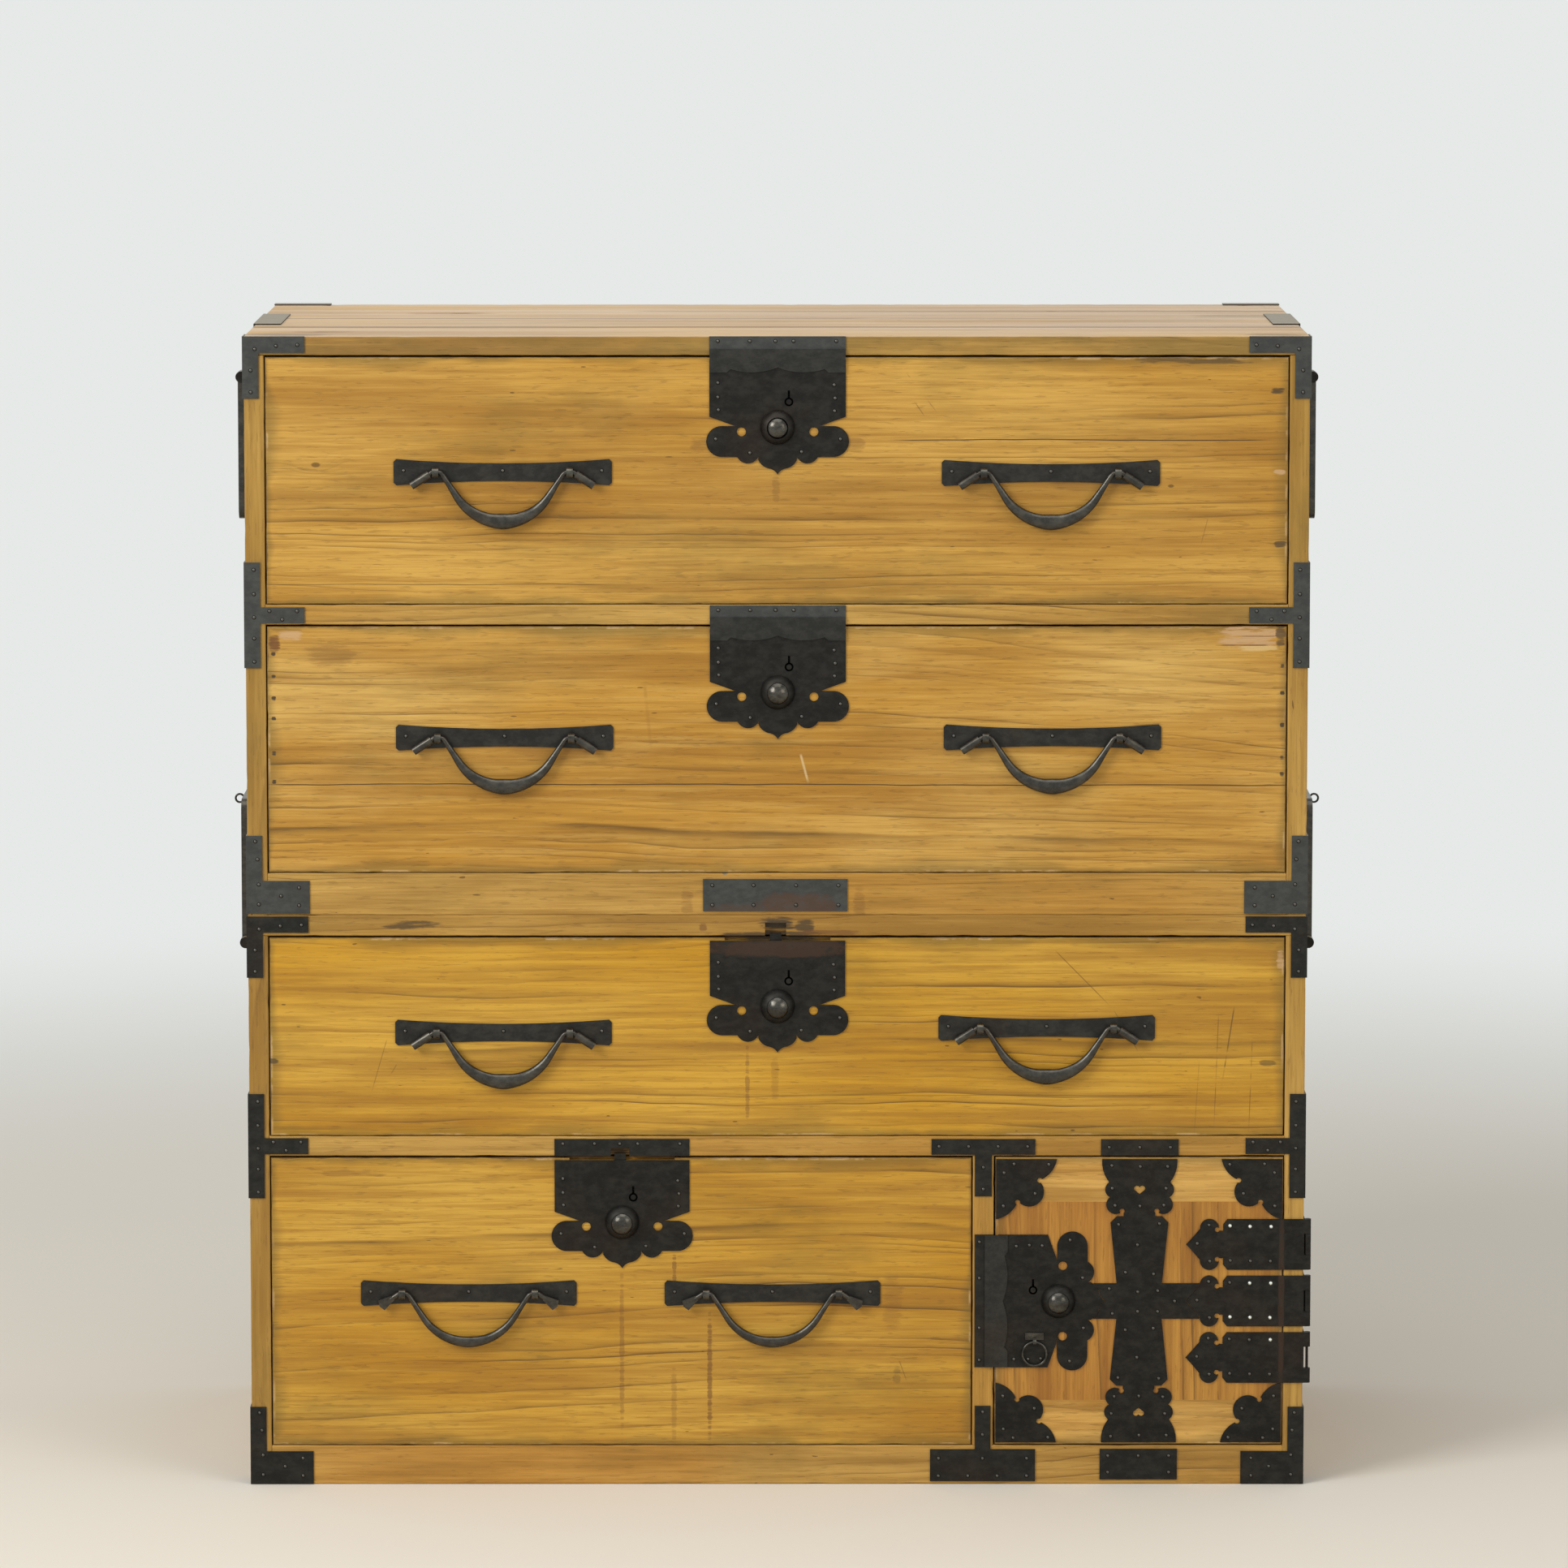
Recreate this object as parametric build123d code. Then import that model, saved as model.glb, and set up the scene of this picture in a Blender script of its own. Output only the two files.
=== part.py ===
from build123d import *
import math
import os
from dataclasses import dataclass

# Two-piece clothing chest: an upper case with two wide drawers standing on a lower case
# with a wide drawer, a narrow drawer and a small hinged door, all with iron fittings.
# Millimetres. X runs to the right, Y to the back, Z up.
# The origin is the centre of the underside, so the front face is at -Y.

# ---------------------------------------------------------------- cases
case_width = 1000.0
case_depth = 430.0
side_board = 19.0
back_board = 9.0
upper_top_board = 18.0
lower_top_board = 20.0
top_front_plank = 118.0
shelf_rail = 19.0
shelf_rail_depth = 48.0
dust_board = 8.0
shelf_runner_width = 30.0
upper_base_rail = 35.0
lower_base_rail = 32.5
base_rail_depth = 20.0
bottom_board = 12.0
bottom_lip = 5.0
divider_board = 20.0
divider_centre = 195.7

# ---------------------------------------------------------------- drawers
drawer_face = 20.0
drawer_rabbet = 8.0
drawer_side = 12.0
drawer_back = 12.0
drawer_floor = 8.0
drawer_side_drop = 8.0
run_gap = 0.4
head_gap = 1.6
side_gap = 1.0
drawer_back_gap = 8.0
drawer_face_heights = (233.0, 234.0, 190.0, 277.5)

# ---------------------------------------------------------------- sheet iron and nails
iron = 1.3
sheet_gap = 0.4
strike_iron = 1.0
side_return = 28.0
nail_head_radius = 1.9
nail_head_height = 1.1

# ---------------------------------------------------------------- locks
lock_half_width = 64.0
lock_shoulder = 10.0
lock_strip_height = 21.8
scallop_rise = 4.8
lobe_radius = 14.5
lobe_x = 52.5
lobe_z = -13.3
small_lobe_radius = 11.0
small_lobe_x = 28.0
small_lobe_z = -23.0
lock_tip = 44.5
shield_foot_half = 41.0
shield_foot_z = 1.7
lock_core_half = 38.0
lock_core_low = -24.0
lock_core_high = 6.0
tip_cusp = (18.0, -31.0)
tip_hollow = (14.2, -35.9)
tip_swell = (8.6, -38.6)
tip_flank = (3.7, -40.4)
strip_inset = 0.3
strip_end_half = 48.0
strip_step_half = 44.0
strip_step = 3.2
scallop_middle = 20.0
lock_nails = [
    (-56, 42), (-56, 28.5), (-55.5, 16.5), (53, 40), (54, 27.5), (53.5, 15.5),
    (-58, -11), (59, -11), (-26, -24), (22.5, -23),
]
spring_thickness = 0.8
spring_front = 0.6
spring_back = 6.6
spring_length = 24.0
spring_foot = 1.0
strike_nail_drop = 4.5
pierced_hole_radius = 4.2
pierced_hole_x = 34.0
pierced_hole_z = -4.2
collar_radius = 16.4
collar_height = 9.6
collar_bulge_radius = 14.6
collar_bulge_height = 5.6
button_radius = 9.7
button_crown = 4.4
button_fit = 0.4
button_flange = 1.8
button_flange_height = 1.5
button_shank_radius = 4.0
button_shank_length = 7.0
button_travel = 4.0
key_ring_radius = 4.2
key_pin_radius = 2.5
key_slot_width = 2.2
key_slot_length = 13.0
key_x = 10.6
key_z = 24.0
lock_body_left = 21.0
lock_body_right = 22.0
lock_body_low = 17.0
lock_body_high = 46.0
button_end_clearance = 0.9
lock_body_wall = 1.2
bolt_width = 10.8
bolt_thickness = 3.0
bolt_x = -1.8
bolt_foot = 14.5
bolt_gap = 0.4
bolt_travel = 6.0
bolt_inset = 0.5
bolt_stand = 4.5
plate_slot_half = 50.0
plate_slot_depth = 7.0
notch_width = 20.0
notch_clearance = 2.0
notch_depth = 8.0
strike_notch_width = 17.5
strike_notch_height = 7.8
strike_nail_xs = (-56.0, -26.0, -2.0, 15.0, 55.0)

# ---------------------------------------------------------------- drawer handles
handle_plate_length = 205.0
handle_plate_end_height = 24.6
handle_plate_waist_height = 16.6
handle_plate_corner = 2.5
post_half_spacing = 63.0
bail_drop = 46.0
bail_angle = 57.0
bail_shoulder_radius = 10.0
bail_neck_radius = 2.4
bail_end_radius = 4.1
bail_end_length = 20.0
bail_bend_gap = 0.8
bail_link_length = 2.4
bail_end_angle = 33.0
bail_stand_off = 6.3
fishtail_neck = 9.0
fishtail_length = 10.0
fishtail_end_width = 11.0
fishtail_thickness = 4.2
eye_outer_radius = 4.9
eye_clearance = 0.7
eye_width = 6.0
eye_shank_radius = 2.0
eye_clinch_length = 16.0
eye_clinch_height = 3.5
eye_shank_overlap = 1.0
handle_nail_inset = 9.5
handle_nail_rise = 1.5
bail_half_stations = 9
bail_taper_rate = 1.18
bail_taper_power = 1.1
fishtail_root = 3.0
fishtail_point = 2.0

# ---------------------------------------------------------------- door
door_thickness = 20.0
door_proud = 0.4
door_lock_gap = 1.5
door_hinge_gap = 1.0
door_end_gap = 1.0
door_clamp = 43.0
door_lock_dome_inset = 60.0
door_strap_height = 34.2
cross_strap_lap = 20.0
door_strap_waist = 21.5
door_strap_shoulder = 27.5
door_finial_height = 52.5
door_finial_half_width = 35.6
door_strap_x = 344.0
door_corner_size = 58.0
door_iron_end_gap = 2.0
corner_core = [(0, 0), (-44, 0), (-44, -13), (-13, -44), (0, -44)]
corner_circles = [(-31.5, -31.5, 14.0), (-32.0, 4.0, 26.0), (4.0, -32.0, 26.0)]
corner_holes = [(-41.5, -20.5), (-20.5, -41.5)]
corner_nails = [(-50, -5), (-17, -4.5), (-7.5, -13), (-37, -33), (-7, -45)]
door_iron_side_gap = 0.6
strap_shoulder_drop = 6.0
strap_neck_gap = 2.5
strap_side_bulge = (34.3, 12.0)
strap_side_foot = (29.6, 21.2)
strap_bridge_half = 15.0
strap_throat_half = 24.0
strap_throat_rise = 6.0
strap_lobes = ((24.6, 29.3, 8.1), (22.6, 43.8, 9.0))
strap_hole = (16.5, 50.0)
heart_drop = 29.6
small_hole_radius = 2.4
cross_nails = [(4, 12), (7, -12), (31, 9), (31, -10), (50, 10), (50, -10), (66, 0)]
hinge_nails = [
    (-90, 18.8), (-89, -16), (-101, 1), (-70, 18), (-51, 17.3), (-31, 17.2),
    (-69.5, -15.4), (-50.5, -15.8), (-31.5, -16),
]
hinge_corner = (4.0, 5.0)
hinge_cusp = (98.5, 15.0)
hinge_tip_flank = (104.8, 7.5)
hinge_neck_half = 13.0
hinge_hole = (82.0, 14.3)
hinge_leaf_nails = [(12, -16), (12, 16), (30, -16), (30, 16)]
hinge_height = 48.8
hinge_reach = 76.5
hinge_tip_reach = 111.6
hinge_spacing = 54.6
hinge_lobe_radius = 9.0
hinge_lobe_x = 89.5
hinge_lobe_z = 15.6
hinge_barrel_radius = 3.1
hinge_pin_radius = 1.3
hinge_bore_clearance = 0.05
hinge_end_barrel = 14.0
hinge_barrel_gap = 0.3
hinge_leaf_length = 42.0
hinge_leaf = 1.2
hinge_side_clearance = 0.8
pull_ring_radius = 11.4
pull_ring_wire = 1.1
pull_ring_drop = 50.5
pull_ring_x = -22.5
pull_bracket_width = 17.5
pull_bracket_height = 6.6
pull_bracket_thickness = 1.5
pull_bracket_lift = 2.0
pull_stand = 2.6
pull_eye_wall = 1.6
pull_eye_width = 3.2
pull_eye_web_height = 4.0
pull_eye_play = 0.5

# ---------------------------------------------------------------- small drawers behind the door
small_drawer_count = 3
small_drawer_setback = 12.0
small_drawer_face = 12.0
small_drawer_board = 8.0
small_drawer_floor = 6.0
small_shelf = 8.0
small_drawer_gap = 0.8
small_pull_radius = 9.0
small_pull_wire = 1.2
small_rosette_radius = 8.0
small_rosette_rise = 6.0
small_knob_radius = 2.4
small_knob_length = 4.0
small_ring_stand = 2.2
small_side_drop = 4.0

# ---------------------------------------------------------------- case iron sizes
iron_arm = 15.4
iron_arm_length = 58.5
corner_nail_drops = [(12, -12), (32, -9), (52, -8), (8, -32)]
corner_low_nail = (8.0, 6.0)
lower_corner_drop = 1.4
tee_height = 100.0
tee_arm_length = 57.0
tee_arm_half = 7.6
tee_nails = [(9.5, 43), (9.5, 20), (24, 4), (50, 4), (9.5, -2), (9.5, -22), (9.5, -44), (36, -4)]
upper_tee_drop = 0.5
base_iron_length = 60.0
base_iron_height = 31.5
base_iron_rise = 43.0
base_iron_nails = [(9, 69), (11, 52), (12, 28), (50, 25), (33, 17), (12, 9), (50, 8)]
upper_base_iron_lift = 1.2
lower_base_iron_lift = 0.3
rear_iron_length = 56.0
rear_iron_lap = 14.0
rear_iron_drop = 40.0
strike_rail_gap = 0.6
notched_strike_gap = 2.6
centre_plate_left = -69.8
centre_plate_right = 66.5
centre_plate_lift = 3.6
centre_plate_nail_xs = (-61, -22, 18, 58)
centre_plate_nail_inset = 6.0
divider_tee_half = 49.2
divider_tee_height = 15.0
divider_tee_lift = 1.2
divider_stem_half = 8.1
divider_stem_drop = 40.0
divider_tee_nails = [(-42, 8), (-14, 8), (14, 8), (42, 8), (0, -12), (0, -33)]
divider_foot_half = 50.0
divider_foot_low = 2.8
divider_foot_stem_half = 7.5
divider_foot_stem_rise = 42.0
divider_foot_nails = [
    (-42, 8), (-14, 8), (14, 8), (42, 8), (-42, 25), (0, 25), (42, 25), (0, 48), (0, 70),
]
iron_joint_lap = 2.0
door_plate_half = 36.8
over_door_plate_height = 15.6
over_door_nails = [(-29, 8), (0, 8), (29, 8)]
under_door_plate_low = 4.5
under_door_plate_high = 34.0
under_door_nails = [(-29, 23), (0, 23), (29, 23), (-29, 7), (29, 7)]
door_strike_width = 18.0
door_strike_nail_inset = 4.5
door_strike_nail_zs = (57, 22, -26, -57)

# ---------------------------------------------------------------- pole carriers
carrier_width = 118.0
carrier_bar_width = 13.0
carrier_bar = 8.0
carrier_reach = 138.0
carrier_barrel_radius = 5.5
carrier_pin_radius = 2.4
carrier_bore_clearance = 0.05
carrier_barrel_length = 13.0
carrier_lug_length = 9.0
carrier_axial_gap = 0.4
carrier_plate = 1.2
carrier_plate_drop = 59.0
carrier_plate_lap = 25.0
carrier_off_side = 8.2
upper_carrier_drop = 50.0
lower_carrier_drop = 50.0
lower_carrier_plate_drop = 0.5
carrier_nail_ys = (-45, -15, 15, 45)
carrier_nail_inset = 8.0
carrier_corner_radius = 11.0
tip_pad_radius = 3.4
tip_pad_height = 1.6
tip_ring_radius = 4.0
tip_ring_wire = 1.0

# ---------------------------------------------------------------- levels that follow
opening_heights = tuple(height + run_gap + head_gap for height in drawer_face_heights)
front_y = -case_depth / 2
back_y = case_depth / 2
half_width = case_width / 2
inner_half = half_width - side_board

lower_opening_floor = lower_base_rail + bottom_lip
lower_shelf_under = lower_opening_floor + opening_heights[3]
lower_shelf_top = lower_shelf_under + shelf_rail
lower_top_under = lower_shelf_top + opening_heights[2]
seam = lower_top_under + lower_top_board
upper_opening_floor = seam + upper_base_rail + bottom_lip
upper_shelf_under = upper_opening_floor + opening_heights[1]
upper_shelf_top = upper_shelf_under + shelf_rail
upper_top_under = upper_shelf_top + opening_heights[0]
case_top = upper_top_under + upper_top_board

divider_left = divider_centre - divider_board / 2
divider_right = divider_centre + divider_board / 2
carcass_back = back_y - back_board
button_bore_radius = button_radius + button_fit
lock_body_depth = bolt_gap + button_shank_length + button_travel + button_end_clearance + lock_body_wall
notch_height = bolt_travel + bolt_stand + notch_clearance


# ---------------------------------------------------------------- small helpers
def block(x_low, x_high, y_low, y_high, z_low, z_high):
    """Box between two corners."""
    centre = Pos((x_low + x_high) / 2, (y_low + y_high) / 2, (z_low + z_high) / 2)
    return centre * Box(x_high - x_low, y_high - y_low, z_high - z_low)


def front_sheet(sketch, back_of_sheet, thickness):
    """Extrude an X-Z sketch forward (towards -Y) from the plane y = back_of_sheet."""
    plane = Plane(origin=(0, back_of_sheet, 0), x_dir=(1, 0, 0), z_dir=(0, -1, 0))
    return extrude(plane * sketch, amount=thickness, dir=(0, -1, 0))


def rectangle(x_low, x_high, z_low, z_high):
    """Rectangle between two corners of the X-Z sketch plane."""
    return Pos((x_low + x_high) / 2, (z_low + z_high) / 2) * Rectangle(x_high - x_low, z_high - z_low)


def rod_x(radius, length, x, y, z):
    """Cylinder along X, centred on the given point."""
    return Pos(x, y, z) * Rot(0, 90, 0) * Cylinder(radius, length)


def rod_y(radius, length, x, y, z):
    """Cylinder along Y, centred on the given point."""
    return Pos(x, y, z) * Rot(90, 0, 0) * Cylinder(radius, length)


def cap_arc(radius, height, base):
    """Section of a spherical cap: from its rim at (radius, base) up to the axis."""
    sphere_radius = (radius**2 + height**2) / (2 * height)
    centre = base + height - sphere_radius
    middle = (math.atan2(base - centre, radius) + math.pi / 2) / 2
    waypoint = (sphere_radius * math.cos(middle), centre + sphere_radius * math.sin(middle))
    return ThreePointArc((radius, base), waypoint, (0, base + height))


def nail_head():
    """Low round nail head with its flat side at y = 0, facing -Y."""
    edges = [
        Line((0, 0), (nail_head_radius, 0)),
        cap_arc(nail_head_radius, nail_head_height, 0.0),
        Line((0, nail_head_height), (0, 0)),
    ]
    return Rot(90, 0, 0) * revolve(Plane.XZ * make_face(edges), Axis.Z)


head = nail_head()


def nails(points, y):
    """Nail heads seated on the plane y, one at each (x, z) point."""
    return [Pos(x, y, z) * head for x, z in points]


def all_solids(pieces):
    """Flat list of the solids in a list of shapes."""
    found = []
    for piece in pieces:
        found.extend(piece.solids())
    return found


def save(node, pieces):
    """Write one node: each piece stays a separate solid."""
    export_step(Compound(all_solids(pieces)), f"parts/{node}.step")


# ---------------------------------------------------------------- lock, drawn about its button
def lock_outline(plate_top):
    """Lock plate outline: a wide shield with two pairs of lobes and an ogee tip."""
    shield = Polygon(
        (-lock_half_width, plate_top), (-lock_half_width, lock_shoulder),
        (-shield_foot_half, shield_foot_z), (shield_foot_half, shield_foot_z),
        (lock_half_width, lock_shoulder), (lock_half_width, plate_top),
        align=None,
    )
    core = rectangle(-lock_core_half, lock_core_half, lock_core_low, lock_core_high)
    arms = rectangle(-lobe_x, lobe_x, lobe_z - lobe_radius, lobe_z + lobe_radius)
    edges = [Line((-tip_cusp[0], lobe_z), (tip_cusp[0], lobe_z))]
    for side in (-1, 1):
        cusp, hollow, swell, flank = [
            (side * x, z) for x, z in (tip_cusp, tip_hollow, tip_swell, tip_flank)
        ]
        edges.append(Line((cusp[0], lobe_z), cusp))
        edges.append(ThreePointArc(cusp, hollow, swell))
        edges.append(ThreePointArc(swell, flank, (0, -lock_tip)))
    tip = make_face(edges)
    outline = shield + core + arms + tip
    for side in (-1, 1):
        outline += Pos(side * lobe_x, lobe_z) * Circle(lobe_radius)
        outline += Pos(side * small_lobe_x, small_lobe_z) * Circle(small_lobe_radius)
    for side in (-1, 1):
        outline -= Pos(side * pierced_hole_x, pierced_hole_z) * Circle(pierced_hole_radius)
    return outline


def key_opening(slot_up_local_x):
    """Round key opening with its slot, along local +Z or, on the door, local +X."""
    reach = key_ring_radius + key_slot_length / 2
    if slot_up_local_x:
        slot = Pos(key_x + reach / 2, key_z) * Rectangle(reach, key_slot_width)
    else:
        slot = Pos(key_x, key_z + reach / 2) * Rectangle(key_slot_width, reach)
    return Pos(key_x, key_z) * Circle(key_ring_radius) + slot


def strip_outline(strip_top):
    """Cover strip: straight top edge and a lower edge of two shallow scallops."""
    low = strip_top - lock_strip_height
    half = lock_half_width - strip_inset
    edges = [Line((-half, strip_top), (half, strip_top))]
    for side in (-1, 1):
        edges.append(Line((side * half, strip_top), (side * half, low)))
        end = (side * strip_end_half, low)
        step = (side * strip_step_half, low + strip_step)
        edges.append(Line((side * half, low), end))
        edges.append(Line(end, step))
        edges.append(ThreePointArc(step, (side * scallop_middle, low + strip_inset), (0, low + scallop_rise)))
    return make_face(edges)


def lock_iron(edge, strip_overhang, has_strip, plate_drop, slot_up_local_x):
    """Fixed iron of one lock: plate, cover strip, collar, lock body, key pin, spring and nails.

    edge is the distance from the button up to the board's edge, where the bolt comes out.
    """
    plate_top = edge - plate_drop
    outline = lock_outline(plate_top) - key_opening(slot_up_local_x) - Circle(button_bore_radius)
    pieces = [front_sheet(outline, 0, iron)]
    pieces += nails(lock_nails, -iron)
    if has_strip:
        pieces.append(front_sheet(strip_outline(edge + strip_overhang), -iron, iron))
    collar = make_face([
        Line((button_bore_radius, 0), (collar_radius, 0)),
        ThreePointArc(
            (collar_radius, 0), (collar_bulge_radius, collar_bulge_height),
            (button_bore_radius, collar_height),
        ),
        Line((button_bore_radius, collar_height), (button_bore_radius, 0)),
    ])
    pieces.append(Pos(0, -iron, 0) * Rot(90, 0, 0) * revolve(Plane.XZ * collar, Axis.Z))
    pieces.append(lock_body(edge))
    pin_length = lock_body_depth - lock_body_wall + iron
    pieces.append(rod_y(key_pin_radius, pin_length, key_x, pin_length / 2 - iron, key_z))
    pieces.append(bolt_spring())
    return pieces


def lock_body(edge):
    """Iron case let into the wood behind the plate, open at the front and slotted for the bolt."""
    outer = block(-lock_body_left, lock_body_right, 0, lock_body_depth, -lock_body_low, lock_body_high)
    inner = block(
        -lock_body_left + lock_body_wall, lock_body_right - lock_body_wall,
        0, lock_body_depth - lock_body_wall,
        -lock_body_low + lock_body_wall, lock_body_high - lock_body_wall,
    )
    return outer - inner - bolt_channel(edge)


def bolt_channel(edge):
    """Straight way for the bolt from the lock body to the edge of the board."""
    half = bolt_width / 2 + bolt_gap
    return block(
        bolt_x - half, bolt_x + half,
        0, bolt_thickness + 2 * bolt_gap,
        lock_body_high - 2 * lock_body_wall, edge,
    )


def bolt_spring():
    """Flat spring standing beside the bolt, riveted to the lock body's wall."""
    wall = -lock_body_left + lock_body_wall
    free_x = bolt_x - bolt_width / 2 - bolt_gap
    leaf_x = free_x - spring_thickness
    foot = block(wall, leaf_x, spring_front, spring_back, bolt_foot, bolt_foot + spring_foot)
    leaf = block(leaf_x, free_x, spring_front, spring_back, bolt_foot, bolt_foot + spring_length)
    return foot + leaf


def lock_mortise(edge):
    """Wood removed for the lock body and the bolt."""
    pocket = block(-lock_body_left, lock_body_right, 0, lock_body_depth, -lock_body_low, lock_body_high)
    return pocket + bolt_channel(edge)


def plate_slot(edge, plate_drop):
    """Wood removed over the plate of a lock without a cover strip."""
    return block(-plate_slot_half, plate_slot_half, -1, plate_slot_depth, edge - plate_drop, edge + 1)


def lock_button(sunk):
    """Ball-headed push button with its flange behind the plate."""
    shoulder = iron + collar_height - sunk
    top = shoulder + button_crown
    flange_front = -bolt_gap
    flange_back = flange_front - button_flange_height
    flange_radius = button_radius + button_flange
    end = -button_shank_length - bolt_gap
    profile = make_face([
        Line((0, end), (button_shank_radius, end)),
        Line((button_shank_radius, end), (button_shank_radius, flange_back)),
        Line((button_shank_radius, flange_back), (flange_radius, flange_back)),
        Line((flange_radius, flange_back), (flange_radius, flange_front)),
        Line((flange_radius, flange_front), (button_radius, flange_front)),
        Line((button_radius, flange_front), (button_radius, shoulder)),
        cap_arc(button_radius, button_crown, shoulder),
        Line((0, top), (0, end)),
    ])
    return Rot(90, 0, 0) * revolve(Plane.XZ * profile, Axis.Z)


def lock_bolt(edge, bolt_proud):
    """Flat bolt standing over the button, its tip in the board's edge or bolt_proud above it."""
    return block(
        bolt_x - bolt_width / 2, bolt_x + bolt_width / 2,
        bolt_gap, bolt_gap + bolt_thickness,
        bolt_foot, edge - bolt_inset + bolt_proud,
    )


def strike_notch():
    """Wood removed from the frame for the raised bolt, above the edge of the frame at z = 0."""
    return block(bolt_x - notch_width / 2, bolt_x + notch_width / 2, -1, notch_depth, -1, notch_height)


def strike_plate(height, notched):
    """Strike plate on the frame, its lower edge at z = 0."""
    outline = rectangle(-lock_half_width, lock_half_width, 0, height)
    if notched:
        outline -= rectangle(
            bolt_x - strike_notch_width / 2, bolt_x + strike_notch_width / 2,
            -1, strike_notch_height,
        )
    plate = front_sheet(outline, 0, strike_iron)
    return [plate] + nails([(x, height - strike_nail_drop) for x in strike_nail_xs], -strike_iron)


# ---------------------------------------------------------------- drawer handle
def handle_plate_outline():
    """Long back plate with gently dished upper and lower edges."""
    half = handle_plate_length / 2
    end = handle_plate_end_height / 2
    waist = handle_plate_waist_height / 2
    corner = handle_plate_corner
    edges = []
    for side in (-1, 1):
        edges.append(ThreePointArc((-half + corner, side * end), (0, side * waist), (half - corner, side * end)))
        edges.append(Line((side * (half - corner), end), (side * half, end - corner)))
        edges.append(Line((side * half, end - corner), (side * half, corner - end)))
        edges.append(Line((side * half, corner - end), (side * (half - corner), -end)))
    return make_face(edges)


def handle_fittings():
    """Back plate, two eyes clinched through the face board, and three nails."""
    plate = front_sheet(handle_plate_outline(), 0, iron)
    for side in (-1, 1):
        plate -= rod_y(eye_shank_radius, 4 * iron, side * post_half_spacing, 0, 0)
    pieces = [plate]
    shank_length = bail_stand_off + drawer_face - eye_outer_radius + eye_shank_overlap
    for side in (-1, 1):
        x = side * post_half_spacing
        ring = rod_x(eye_outer_radius, eye_width, x, -bail_stand_off, 0)
        shank_start = -bail_stand_off + eye_outer_radius - eye_shank_overlap
        shank = rod_y(eye_shank_radius, shank_length, x, shank_start + shank_length / 2, 0)
        clinch = block(
            x - eye_clinch_length / 2, x + eye_clinch_length / 2,
            drawer_face, drawer_face + iron,
            -eye_clinch_height / 2, eye_clinch_height / 2,
        )
        bore = rod_x(bail_neck_radius + eye_clearance, 2 * eye_width, x, -bail_stand_off, 0)
        pieces.append(ring + shank + clinch - bore)
    nail_x = handle_plate_length / 2 - handle_nail_inset
    pieces += nails([(x, handle_nail_rise) for x in (-nail_x, 0, nail_x)], -iron)
    return pieces


def bail_stations(steps):
    """Points of the right half of the bow: (x, z, heading in radians, share of the way up)."""
    turn = math.radians(bail_angle)
    slope = math.cos(turn) / math.sin(turn)
    radii = (post_half_spacing - bail_drop * slope) / (math.sin(turn) - slope * (1 - math.cos(turn)))
    bow_radius = radii - bail_shoulder_radius
    straight = (bail_drop - radii * (1 - math.cos(turn))) / math.sin(turn)
    arc_lengths = (bow_radius * turn, straight, bail_shoulder_radius * turn)
    total = sum(arc_lengths)
    stations = []
    for step in range(steps + 1):
        share = step / steps
        way = share * total
        if way <= arc_lengths[0]:
            angle = way / bow_radius
            x = bow_radius * math.sin(angle)
            z = -bail_drop + bow_radius * (1 - math.cos(angle))
            heading = angle
        elif way <= arc_lengths[0] + arc_lengths[1]:
            run = way - arc_lengths[0]
            x = bow_radius * math.sin(turn) + run * math.cos(turn)
            z = -bail_drop + bow_radius * (1 - math.cos(turn)) + run * math.sin(turn)
            heading = turn
        else:
            heading = (total - way) / bail_shoulder_radius
            x = post_half_spacing - bail_shoulder_radius * math.sin(heading)
            z = -bail_shoulder_radius * (1 - math.cos(heading))
        stations.append((x, z, heading, share))
    return stations


def bail(bow_height, bow_depth, fishtail):
    """Drooping bow, thick in the middle, with its two ends past the eyes; pivot line at z = 0."""
    right = bail_stations(bail_half_stations)
    left = [(-x, z, -heading, share) for x, z, heading, share in reversed(right[1:])]
    sections = []
    for x, z, heading, share in left + right:
        tangent = (math.cos(heading), 0, math.sin(heading))
        plane = Plane(origin=(x, 0, z), x_dir=(0, 1, 0), z_dir=tangent)
        taper = max(0.0, 1 - share * bail_taper_rate) ** bail_taper_power
        half_depth = bail_neck_radius + (bow_depth / 2 - bail_neck_radius) * taper
        half_height = bail_neck_radius + (bow_height / 2 - bail_neck_radius) * taper
        sections.append(plane * Ellipse(half_depth, half_height))
    body = loft(sections)
    for side in (-1, 1):
        body += bail_end(side, fishtail)
    return body


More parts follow.
